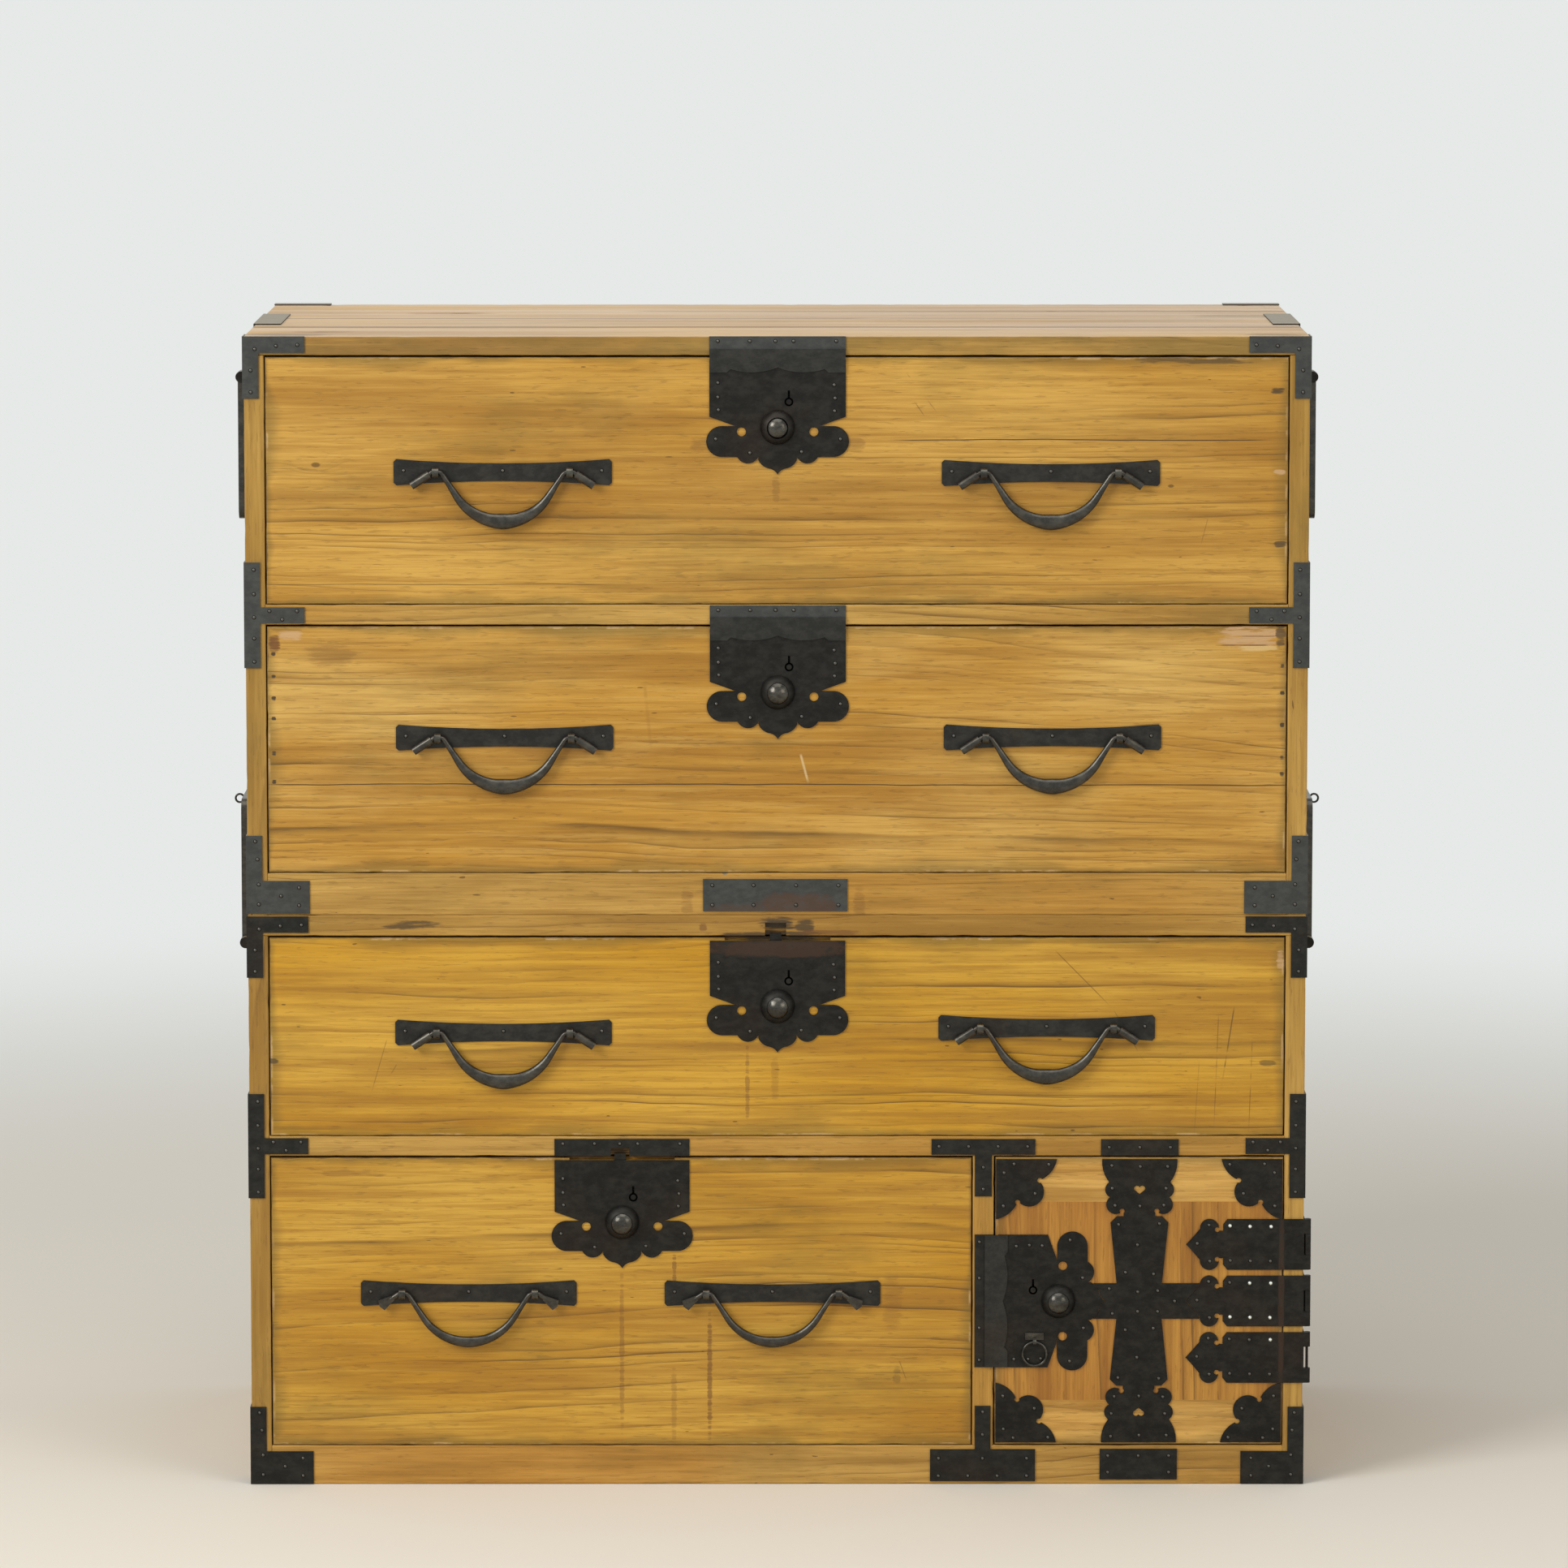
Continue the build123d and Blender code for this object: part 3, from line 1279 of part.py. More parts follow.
def upper_case_irons():
    """Every fixed iron on the upper case."""
    pieces = []
    for side in (-1, 1):
        pieces += corner_iron(side, case_top, iron_arm_length)
        pieces += tee_iron(side, (upper_shelf_under + upper_shelf_top) / 2 - upper_tee_drop)
        pieces += base_iron(side, seam + upper_base_iron_lift)
        pieces.append(rear_corner_iron(side, case_top))
    for drawer, level, height in (
        (drawers[0], upper_top_under, upper_top_board),
        (drawers[1], upper_shelf_under, shelf_rail - strike_rail_gap),
    ):
        pieces += [Pos(drawer.lock_x, front_y, level) * part for part in strike_plate(height, False)]
    plate_low = seam + centre_plate_lift
    plate_high = seam + upper_base_rail - strike_rail_gap
    nail_zs = (plate_low + centre_plate_nail_inset, plate_high - centre_plate_nail_inset)
    places = [(x, z) for x in centre_plate_nail_xs for z in nail_zs]
    pieces += plain_iron(centre_plate_left, centre_plate_right, plate_low, plate_high, places)
    return pieces


def lower_case_irons():
    """Every fixed iron on the lower case."""
    pieces = []
    for side in (-1, 1):
        pieces += corner_iron(side, seam - lower_corner_drop, iron_arm_length)
        pieces += tee_iron(side, (lower_shelf_under + lower_shelf_top) / 2)
        pieces += base_iron(side, lower_base_iron_lift)
    strike = strike_plate(shelf_rail - notched_strike_gap, True)
    pieces += [Pos(drawers[3].lock_x, front_y, lower_shelf_under) * part for part in strike]
    pieces += divider_irons()
    left = door_strap_x - door_plate_half
    right = door_strap_x + door_plate_half
    low = lower_shelf_under + sheet_gap
    places = [(door_strap_x + x, low + z) for x, z in over_door_nails]
    pieces += plain_iron(left, right, low, low + over_door_plate_height, places)
    places = [(door_strap_x + x, under_door_plate_low + z) for x, z in under_door_nails]
    pieces += plain_iron(left, right, under_door_plate_low, under_door_plate_high, places)
    pieces += door_strike()
    return pieces


def divider_irons():
    """T-shaped iron at the head of the divider and the one at its foot."""
    low = lower_shelf_under + divider_tee_lift
    tee = rectangle(
        divider_centre - divider_tee_half, divider_centre + divider_tee_half, low, low + divider_tee_height
    )
    tee += rectangle(
        divider_centre - divider_stem_half, divider_centre + divider_stem_half,
        low - divider_stem_drop, low + iron_joint_lap,
    )
    pieces = [front_sheet(tee, front_y, iron)]
    pieces += nails([(divider_centre + x, low + z) for x, z in divider_tee_nails], front_y - iron)
    high = lower_base_rail + divider_tee_lift
    foot = rectangle(
        divider_centre - divider_foot_half, divider_centre + divider_foot_half, divider_foot_low, high
    )
    foot += rectangle(
        divider_centre - divider_foot_stem_half, divider_centre + divider_foot_stem_half,
        high - iron_joint_lap, high + divider_foot_stem_rise,
    )
    pieces.append(front_sheet(foot, front_y, iron))
    pieces += nails([(divider_centre + x, z) for x, z in divider_foot_nails], front_y - iron)
    return pieces


def door_strike():
    """Strike plate for the door's bolt, on the face of the divider."""
    left = divider_right - door_strike_width
    low = door_middle - lock_half_width
    plate = front_sheet(
        rectangle(left, divider_right, low, low + 2 * lock_half_width), front_y, strike_iron
    )
    points = [(left + door_strike_nail_inset, door_middle + z) for z in door_strike_nail_zs]
    return [plate] + nails(points, front_y - strike_iron)


# ---------------------------------------------------------------- pole carriers
upper_carrier_z = case_top - upper_carrier_drop
lower_carrier_z = seam - lower_carrier_drop
carrier_bar_inner = half_width + carrier_plate + carrier_off_side
carrier_axis_x = carrier_bar_inner + carrier_bar / 2
carrier_leg_y = carrier_width / 2 - carrier_bar_width / 2
carrier_lug_y = carrier_width / 2 + carrier_axial_gap + carrier_lug_length / 2
carrier_plate_half = carrier_lug_y + carrier_lug_length / 2


def carrier_mount(axis_z, plate_high, lap_over_top):
    """Side plate with two lugs and the pin between them, for the right-hand side."""
    plate = block(
        half_width, half_width + carrier_plate, -carrier_plate_half, carrier_plate_half,
        plate_high - carrier_plate_drop, plate_high,
    )
    if lap_over_top:
        plate += block(
            half_width - carrier_plate_lap, half_width + carrier_plate,
            -carrier_plate_half, carrier_plate_half, plate_high, plate_high + carrier_plate,
        )
    for side in (-1, 1):
        lug_y = side * carrier_lug_y
        lug = rod_y(carrier_barrel_radius, carrier_lug_length, carrier_axis_x, lug_y, axis_z)
        web = block(
            half_width, carrier_axis_x, lug_y - carrier_lug_length / 2, lug_y + carrier_lug_length / 2,
            axis_z - carrier_barrel_radius, axis_z + carrier_barrel_radius,
        )
        plate += lug + web
    pin_length = 2 * carrier_plate_half
    pin = rod_y(carrier_pin_radius, pin_length, carrier_axis_x, 0, axis_z)
    plate -= pin
    heads = []
    if lap_over_top:
        z = plate_high - carrier_nail_inset
    else:
        z = plate_high - carrier_plate_drop + carrier_nail_inset
    for y in carrier_nail_ys:
        heads.append(Pos(half_width + carrier_plate, y, z) * Rot(0, 0, 90) * head)
    return [plate, pin] + heads


def carrier_loop(axis_z, direction, with_ring):
    """U-shaped bar with a barrel at each leg; direction is -1 hanging or +1 folded up."""
    bar_outer = carrier_bar_inner + carrier_bar
    tip = axis_z + direction * carrier_reach
    shape = None
    for side in (-1, 1):
        leg_y = side * carrier_leg_y
        low, high = min(axis_z, tip), max(axis_z, tip)
        leg = block(
            carrier_bar_inner, bar_outer,
            leg_y - carrier_bar_width / 2, leg_y + carrier_bar_width / 2, low, high,
        )
        leg += rod_y(carrier_barrel_radius, carrier_barrel_length, carrier_axis_x, leg_y, axis_z)
        shape = leg if shape is None else shape + leg
    cross_low, cross_high = sorted((tip, tip - direction * carrier_bar_width))
    shape += block(
        carrier_bar_inner, bar_outer, -carrier_width / 2, carrier_width / 2, cross_low, cross_high
    )
    corners = shape.edges().filter_by(Axis.X).group_by(Axis.Z)
    shape = fillet(corners[0] if direction < 0 else corners[-1], carrier_corner_radius)
    bore = carrier_pin_radius + carrier_bore_clearance
    shape -= rod_y(bore, 2 * carrier_width, carrier_axis_x, 0, axis_z)
    pieces = [shape]
    if with_ring:
        eye_z = tip - direction * carrier_bar_width / 2
        pad = rod_x(tip_pad_radius, tip_pad_height, bar_outer + tip_pad_height / 2, 0, eye_z)
        ring_x = bar_outer + tip_pad_height + tip_ring_radius
        ring = Pos(ring_x, 0, eye_z) * Rot(90, 0, 0) * Torus(tip_ring_radius, tip_ring_wire)
        pieces.append(pad - ring)
        pieces.append(ring)
    return pieces


def build_carriers():
    """Write the four carrier loops and their mounts."""
    mounts = []
    places = (
        ("upper", upper_carrier_z, case_top, True, -1),
        ("lower", lower_carrier_z, seam - lower_carrier_plate_drop, False, 1),
    )
    for level, axis_z, plate_high, lap, direction in places:
        mount = carrier_mount(axis_z, plate_high, lap)
        loop = carrier_loop(axis_z, direction, direction > 0)
        mounts += mount + [mirror(piece, about=Plane.YZ) for piece in mount]
        save(f"carrier_{level}_right", loop)
        save(f"carrier_{level}_left", [mirror(piece, about=Plane.YZ) for piece in loop])
    save("carrier_mounts", mounts)


# ---------------------------------------------------------------- whole chest
def main():
    os.makedirs("parts", exist_ok=True)
    build_cases()
    for drawer in drawers:
        build_drawer(drawer)
    build_small_drawers()
    build_door()
    save("upper_case_irons", upper_case_irons())
    save("lower_case_irons", lower_case_irons())
    build_carriers()


main()
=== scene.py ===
"""Two-case clothing chest: old varnished boards, blackened iron, studio and camera."""

import logging
import math
from dataclasses import dataclass, field
from enum import Enum

import bmesh
import bpy
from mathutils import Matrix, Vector, noise


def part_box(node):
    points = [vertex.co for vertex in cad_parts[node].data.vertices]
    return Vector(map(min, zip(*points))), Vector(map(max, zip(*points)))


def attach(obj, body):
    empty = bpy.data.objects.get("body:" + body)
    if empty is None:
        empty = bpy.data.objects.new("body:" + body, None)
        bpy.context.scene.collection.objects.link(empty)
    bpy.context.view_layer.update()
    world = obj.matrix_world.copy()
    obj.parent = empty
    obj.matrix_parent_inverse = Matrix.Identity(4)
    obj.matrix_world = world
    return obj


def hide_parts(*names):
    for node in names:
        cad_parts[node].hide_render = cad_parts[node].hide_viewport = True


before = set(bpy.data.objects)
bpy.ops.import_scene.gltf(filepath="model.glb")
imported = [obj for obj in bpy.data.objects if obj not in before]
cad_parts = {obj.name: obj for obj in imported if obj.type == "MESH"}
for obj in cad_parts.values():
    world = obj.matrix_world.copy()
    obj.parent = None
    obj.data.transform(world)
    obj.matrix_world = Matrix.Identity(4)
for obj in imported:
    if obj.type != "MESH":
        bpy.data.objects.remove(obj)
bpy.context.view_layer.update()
log = logging.getLogger("chest")

Socket = bpy.types.NodeSocket
Material = bpy.types.Material
MM = 0.001
WELD = 0.01 * MM
PLANE_POWER = 3.0
CRACK_COLOUR = "#2C1A0A"
CHIP_COLOUR = "#E3BE84"
PAINTED_GAP_SHADE_COLOUR = "#4A2A12"
WOOD_DUST_COLOUR = "#C8B29A"
IRON_DUST_COLOUR = "#9C917C"
IRON_RUST_COLOUR = "#62493A"


class Grain(Enum):
    """Run of a board's fibres: the axes along them, across them on the shown face, and into it."""

    LENGTHWISE = (0, 2, 1)
    UPRIGHT = (2, 0, 1)
    UPRIGHT_SIDE = (2, 1, 0)
    DEPTHWISE = (1, 2, 0)
    LENGTHWISE_TOP = (0, 1, 2)


class MarkKind(Enum):
    """What a local mark is, with its colour."""

    TORN_WOOD = "#CCA578"
    RUST_STAIN = "#6E4522"
    # Dark soot stains, and painted shade in the lock slot and the bolts' notches.
    SOOT_AND_PAINTED_SHADE = "#4A3A24"
    BLEACHED = "#D9B777"
    PLUG = "#5F6B68"


@dataclass(frozen=True)
class Mark:
    """One soft-edged local mark, measured in metres in the plane of the shown face."""

    kind: MarkKind
    across: float
    up: float
    half_width: float
    half_height: float
    strength: float


@dataclass(frozen=True)
class Crack:
    """One crack or joint along the fibres, measured in metres."""

    across: float
    start: float
    end: float
    half_width: float = 0.4 * MM
    strength: float = 0.85


@dataclass(frozen=True)
class Scratch:
    """One straight scratch between two points of the board's face, in metres."""

    start: tuple[float, float]
    end: tuple[float, float]
    colour: str = "#6E4E22"
    half_width: float = 0.35 * MM
    strength: float = 0.55


@dataclass(frozen=True)
class FibreNoise:
    """Noise drawn out along the fibres, in cells per metre along and across them."""

    along: float
    across: float
    detail: float = 3.0
    roughness: float = 0.6


@dataclass(frozen=True)
class ToneLayer:
    """One tone of the wood, laid where its source rises from start to full."""

    source: str
    share: float
    tone: str
    start: float | None = None
    full: float | None = None


FIBRE_NOISES = {name: FibreNoise(*numbers) for name, numbers in {
    "patches": (2.4, 7.0, 2.0, 0.5),
    "streaks": (2.2, 34.0),
    "strands": (6.0, 170.0),
    "cloud": (7.0, 16.0, 4.0, 0.62),
    "fibres": (16.0, 520.0, 3.0, 0.65),
    "flecks": (60.0, 420.0, 2.0, 0.55),
    "specks": (75.0, 330.0, 0.0, 0.5),
    "ripple": (9.0, 30.0, 2.0, 0.5),
    "wave": (0.9, 2.0, 2.0, 0.4),
    "sway": (2.6, 7.0, 1.0, 0.4),
    "breaks": (4.0, 24.0, 2.0, 0.5),
    "dust": (1.6, 26.0, 3.0, 0.65),
    "ragged": (30.0, 260.0, 4.0, 0.7),
    "dull": (3.3, 8.5, 5.0, 0.68),
}.items()}
TONE_LAYERS = tuple(ToneLayer(*row) for row in (
    ("patches", 1.0, "pale", 0.34, 0.68),
    ("streaks", 0.55, "deep", 0.44, 0.66),
    ("ring_tone", 0.22, "deep"),
    ("strands", 0.42, "deep", 0.44, 0.68),
    ("strands", 0.32, "pale", 0.46, 0.30),
    ("cloud", 0.35, "pale", 0.50, 0.74),
    ("fibres", 0.38, "deep", 0.40, 0.72),
    ("pores", 0.26, "line"),
    ("ring_lines", 0.85, "line"),
    ("dull", 0.42, "grime", 0.50, 0.76),
))


def linear(hex_colour: str) -> tuple[float, float, float, float]:
    """Turn an sRGB hex colour into linear RGBA.

    Args:
        hex_colour: colour such as "#C79A78".

    Returns:
        Red, green, blue and alpha, linear.
    """
    channels = [int(hex_colour[start:start + 2], 16) / 255 for start in (1, 3, 5)]
    curved = [c / 12.92 if c <= 0.04045 else ((c + 0.055) / 1.055) ** 2.4 for c in channels]
    return (*curved, 1.0)


def add_node(tree: bpy.types.NodeTree, kind: str, inputs: dict | None = None,
             **settings) -> bpy.types.Node:
    """Add one shader node, set it up and link it.

    Args:
        tree: node tree of the material.
        kind: Blender's type name of the node, without its ShaderNode prefix.
        inputs: input name or index to a value, or to the output socket that feeds it.
        settings: attributes of the node itself.

    Returns:
        The new node.
    """
    node = tree.nodes.new(f"ShaderNode{kind}")
    for name, value in settings.items():
        setattr(node, name, value)
    for key, value in (inputs or {}).items():
        if isinstance(value, Socket):
            tree.links.new(value, node.inputs[key])
        else:
            node.inputs[key].default_value = value
    return node


def box_of(points: list) -> tuple[Vector, Vector]:
    """Lowest and highest corner of the box around some points."""
    return tuple(Vector([pick(p[i] for p in points) for i in range(3)]) for pick in (min, max))


class Recipe:
    """A material under construction: its tree and the few sums that every finish needs."""

    UPWARD = (0.6, 0.9)

    def __init__(self, name: str, colour: str) -> None:
        """Start an empty material.

        Args:
            name: name of the material.
            colour: hex value of its ground colour.
        """
        self.colour = linear(colour)
        self.material = bpy.data.materials.new(name)
        self.material.use_nodes = True
        self.tree = self.material.node_tree
        self.tree.nodes.clear()
        self.place = self.add("TexCoord").outputs["Object"]
        self.axes = self.add("SeparateXYZ", {"Vector": self.place}).outputs

    def add(self, kind: str, inputs: dict | None = None, **settings) -> bpy.types.Node:
        """Add a node to this material's tree."""
        return add_node(self.tree, kind, inputs, **settings)

    def sum(self, operation: str, *terms, clamp: bool = False) -> Socket:
        """Work out one Math node and return its value."""
        inputs = dict(enumerate(terms))
        return self.add("Math", inputs, operation=operation, use_clamp=clamp).outputs[0]

    def times(self, first, second, clamp: bool = False) -> Socket:
        """Product of two values."""
        return self.sum("MULTIPLY", first, second, clamp=clamp)

    def scaled(self, value, factor, offset) -> Socket:
        """Value times factor plus offset."""
        return self.sum("MULTIPLY_ADD", value, factor, offset)

    def ramp(self, value, low: float, high: float) -> Socket:
        """Smooth step of value from 0 at low to 1 at high; low may be above high."""
        inputs = {"Value": value, "From Min": low, "From Max": high}
        return self.add("MapRange", inputs, interpolation_type="SMOOTHSTEP").outputs["Result"]

    def in_cells(self, cells: tuple, location: tuple = (0.0, 0.0, 0.0)) -> Socket:
        """Object coordinates in cells, with so many to the metre, and moved."""
        inputs = {"Vector": self.place, "Scale": cells, "Location": location}
        return self.add("Mapping", inputs).outputs["Vector"]

    def noise(self, cells: tuple, detail: float, roughness: float,
              location: tuple = (0.0, 0.0, 0.0)) -> Socket:
        """Fractal noise, with its cells per metre in each direction.

        Args:
            cells: cells per metre along X, Y and Z.
            detail: number of finer octaves.
            roughness: share that each octave keeps of the one before.
            location: offset of the noise, in cells.

        Returns:
            Value of the noise, about 0.5 on average.
        """
        inputs = {"Vector": self.in_cells(cells, location), "Scale": 1.0, "Detail": detail,
                  "Roughness": roughness}
        return self.add("TexNoise", inputs).outputs["Fac"]

    def tint(self, factor, share: float, tone: str) -> None:
        """Lay a tone over the colour so far.

        Args:
            factor: where the tone lies, from 0 to 1.
            share: how much of it shows there.
            tone: hex value of the tone.
        """
        inputs = {"Factor": self.times(factor, share), 6: self.colour, 7: linear(tone)}
        self.colour = self.add("Mix", inputs, data_type="RGBA").outputs[2]

    def upward(self) -> Socket:
        """Factor of the faces that look up, where dust settles."""
        facing = self.add("NewGeometry").outputs["Normal"]
        return self.ramp(self.add("SeparateXYZ", {"Vector": facing}).outputs["Z"], *self.UPWARD)

    def oval(self, spans: tuple, power: float) -> Socket:
        """Distance from the middle of a flat spot.

        Args:
            spans: axis, middle and half size of the spot, in two directions.
            power: 2 for an ellipse, more for a fuller shape.

        Returns:
            0 in the middle and 1 on the rim.
        """
        terms = []
        for axis, middle, half in spans:
            away = self.sum("DIVIDE", self.sum("SUBTRACT", self.axes[axis], middle), half)
            terms.append(self.sum("POWER", self.sum("ABSOLUTE", away), power))
        return self.sum("ADD", *terms)

    def finish(self, roughness, height, bump_distance: float, **sockets) -> Material:
        """Close the tree with a shader and its relief.

        Args:
            roughness: roughness socket or number.
            height: relief socket from 0 to 1.
            bump_distance: depth of the relief in metres.
            sockets: further shader inputs.

        Returns:
            The finished material.
        """
        bump = self.add("Bump", {"Height": height, "Distance": bump_distance, "Strength": 1.0})
        shader = self.add("BsdfPrincipled", {
            "Base Color": self.colour, "Roughness": roughness,
            "Normal": bump.outputs["Normal"], **sockets,
        })
        self.add("OutputMaterial", {"Surface": shader.outputs["BSDF"]})
        return self.material


@dataclass(frozen=True)
class VarnishedPaulownia:
    """Old paulownia board under yellowed varnish: soft gloss, thin growth lines, dirty edges with
    a painted shade line along them.
    """

    GROWTH_PITCH = 10 * MM
    WAVE_HEIGHT = 150 * MM
    SWAY_HEIGHT = 16 * MM
    RIPPLE_HEIGHT = 7 * MM
    RING_LEAN = 0.45
    KNOT_STRETCH = 1.8
    KNOT_SWELL = 1.6
    CRACK_END = 30 * MM
    CRACK_WANDER = 5 * MM
    RELIEF = 0.3 * MM

    name: str
    grain: Grain
    seed: float
    middle: str = "#BC892E"
    pale: str = "#D6AB58"
    deep: str = "#9A691F"
    line: str = "#5F4116"
    grime: str = "#625426"
    face_low: tuple[float, float] | None = None
    face_high: tuple[float, float] | None = None
    roughness: float = 0.46
    dusty_top: float = 0.0
    marks: tuple[Mark, ...] = ()
    cracks: tuple[Crack, ...] = ()
    knots: tuple[tuple[float, float, float], ...] = ()
    scratches: tuple[Scratch, ...] = ()

    @property
    def shift(self) -> tuple[float, float, float]:
        """Offset that gives each board its own stretch of noise."""
        return self.seed * 3.1, self.seed * 1.7, self.seed * 2.3

    @property
    def plane(self) -> list[int]:
        """The two axes of the shown face."""
        return sorted(self.grain.value[:2])

    def drawn(self, mix: Recipe, name: str) -> Socket:
        """Noise of that name, drawn out along this board's fibres.

        Args:
            mix: material under construction.
            name: name of the noise.

        Returns:
            Value of the noise.
        """
        kind = FIBRE_NOISES[name]
        cells = [kind.across] * 3
        cells[self.grain.value[0]] = kind.along
        first, second, third = self.shift
        location = (second, third, first) if name == "dull" else self.shift
        return mix.noise(tuple(cells), kind.detail, kind.roughness, location)

    def build(self) -> Material:
        """Make the material.

        Returns:
            The wood material.
        """
        mix = Recipe(self.name, self.middle)
        names = ("ripple", "patches", "streaks", "strands", "cloud", "fibres", "flecks", "dull")
        parts = {name: self.drawn(mix, name) for name in names}
        parts["ring_lines"], parts["ring_tone"], eye = self.growth_lines(mix, parts["ripple"])
        parts["pores"] = mix.ramp(parts["flecks"], 0.58, 0.72)

        for layer in TONE_LAYERS:
            factor = parts[layer.source]
            if layer.full is not None:
                factor = mix.ramp(factor, layer.start, layer.full)
            mix.tint(factor, layer.share, getattr(self, layer.tone))
        if self.face_low:
            self.shade_edges(mix)
        if self.dusty_top:
            self.settle_dust(mix, parts["cloud"])
        specks = mix.ramp(self.drawn(mix, "specks"), 0.865, 0.89)
        mix.tint(mix.sum("MAXIMUM", specks, eye), 0.75, self.line)
        self.add_marks(mix)
        self.add_scratches(mix, parts["streaks"])
        crack = self.crack_shading(mix, parts["ripple"])
        mix.tint(crack, 1.0, CRACK_COLOUR)

        height = mix.scaled(parts["fibres"], 0.5, 0.5)
        for part, depth in ((parts["ring_lines"], -0.6), (parts["pores"], -0.4), (crack, -1.0)):
            height = mix.scaled(part, depth, height)
        gloss = mix.scaled(parts["cloud"], 0.24, self.roughness - 0.10)
        return mix.finish(gloss, height, self.RELIEF, IOR=1.42)

    def growth_lines(self, mix: Recipe, ripple: Socket) -> tuple:
        """Growth rings cut lengthwise: each starts with a thin dark line that comes and goes.

        Args:
            mix: material under construction.
            ripple: slow noise that makes the lines tremble.

        Returns:
            Factors of the lines, of the tone of each ring, and of the eyes of the knots.
        """
        along_axis, across_axis, deep_axis = self.grain.value
        ring = mix.axes[across_axis]
        for part, height in ((self.drawn(mix, "wave"), self.WAVE_HEIGHT),
                             (self.drawn(mix, "sway"), self.SWAY_HEIGHT),
                             (ripple, self.RIPPLE_HEIGHT), (mix.axes[deep_axis], self.RING_LEAN)):
            ring = mix.scaled(part, height, ring)
        eye = 0.0
        for along, across, size in self.knots:
            spans = ((along_axis, along, self.KNOT_STRETCH * size), (across_axis, across, size))
            radius = mix.oval(spans, 2.0)
            swell = mix.sum("EXPONENT", mix.times(radius, -0.8))
            ring = mix.scaled(swell, self.KNOT_SWELL * size, ring)
            eye = mix.sum("MAXIMUM", eye, mix.ramp(radius, 0.10, 0.03))
        ring = mix.sum("ADD", mix.sum("DIVIDE", ring, self.GROWTH_PITCH), self.seed * 13)
        inputs = {"W": mix.times(ring, 0.21), "Scale": 1.0, "Detail": 1.0}
        drift = mix.add("TexNoise", inputs, noise_dimensions="1D").outputs["Fac"]
        ring = mix.scaled(drift, 5.0, ring)
        number, place = mix.sum("FLOOR", ring), mix.sum("FRACT", ring)
        chance = mix.add("TexWhiteNoise", {"W": number}, noise_dimensions="1D").outputs["Value"]
        fading = mix.sum("SUBTRACT", 1.0, place)
        dark = mix.times(mix.sum("POWER", fading, 5.5), mix.ramp(place, 0.0, 0.07))
        comes = mix.ramp(self.drawn(mix, "breaks"), 0.40, 0.68)
        share = mix.times(mix.sum("POWER", chance, 1.6), mix.scaled(comes, 1.0, 0.15))
        lines = mix.times(dark, mix.times(share, 1.7), clamp=True)
        return lines, mix.times(fading, chance), eye

    def shade_edges(self, mix: Recipe) -> None:
        """Lay dirt, pale chipped places and a narrow dark rim along the edge of the face; the rim
        is painted shade of the gap round the board.

        Args:
            mix: material under construction.
        """
        nearest = None
        for axis, low, high in zip(self.plane, self.face_low, self.face_high):
            for side, sign in ((low, 1), (high, -1)):
                gap = mix.scaled(mix.axes[axis], sign, -sign * side)
                nearest = gap if nearest is None else mix.sum("MINIMUM", nearest, gap)
        rough = mix.noise((60.0, 60.0, 60.0), 3.0, 0.6, self.shift)
        wide = mix.noise((9.0, 9.0, 9.0), 3.0, 0.6, self.shift)
        reach = mix.scaled(wide, 60 * MM, -18 * MM)
        reach = mix.sum("DIVIDE", nearest, mix.sum("MAXIMUM", reach, 4 * MM))
        mix.tint(mix.ramp(reach, 1.0, 0.0), 0.5, self.grime)
        patchy = mix.times(mix.ramp(wide, 0.46, 0.62), mix.ramp(rough, 0.44, 0.60))
        chipped = mix.times(mix.ramp(nearest, 3.4 * MM, 1.0 * MM), patchy)
        mix.tint(chipped, 0.7, CHIP_COLOUR)
        # Painted shade: a narrow dark rim of uneven width along the edge, standing for the shade
        # in the gap round the board.
        width = mix.scaled(rough, 4.0 * MM, -1.2 * MM)
        rim = mix.ramp(mix.sum("SUBTRACT", nearest, width), 0.5 * MM, -0.5 * MM)
        mix.tint(rim, 0.6, PAINTED_GAP_SHADE_COLOUR)

    def settle_dust(self, mix: Recipe, cloud: Socket) -> None:
        """Lay dust on the upper face and grime on the front edge.

        Args:
            mix: material under construction.
            cloud: soft noise that breaks the grime up.
        """
        upward = mix.upward()
        dust = mix.scaled(self.drawn(mix, "dust"), -1.6, self.dusty_top + 0.8)
        front = mix.times(mix.sum("SUBTRACT", 1.0, upward), mix.ramp(cloud, 0.35, 0.6))
        mix.tint(front, 0.5, self.grime)
        mix.tint(mix.times(upward, dust, clamp=True), 1.0, WOOD_DUST_COLOUR)

    def add_marks(self, mix: Recipe) -> None:
        """Lay the local marks over the colour, with ragged edges.

        Args:
            mix: material under construction.
        """
        ragged = self.drawn(mix, "ragged") if self.marks else None
        for mark in self.marks:
            spans = ((self.plane[0], mark.across, mark.half_width),
                     (self.plane[1], mark.up, mark.half_height))
            radius = mix.scaled(ragged, 4.2, mix.oval(spans, PLANE_POWER))
            mix.tint(mix.ramp(radius, 3.1, 2.2), mark.strength, mark.kind.value)

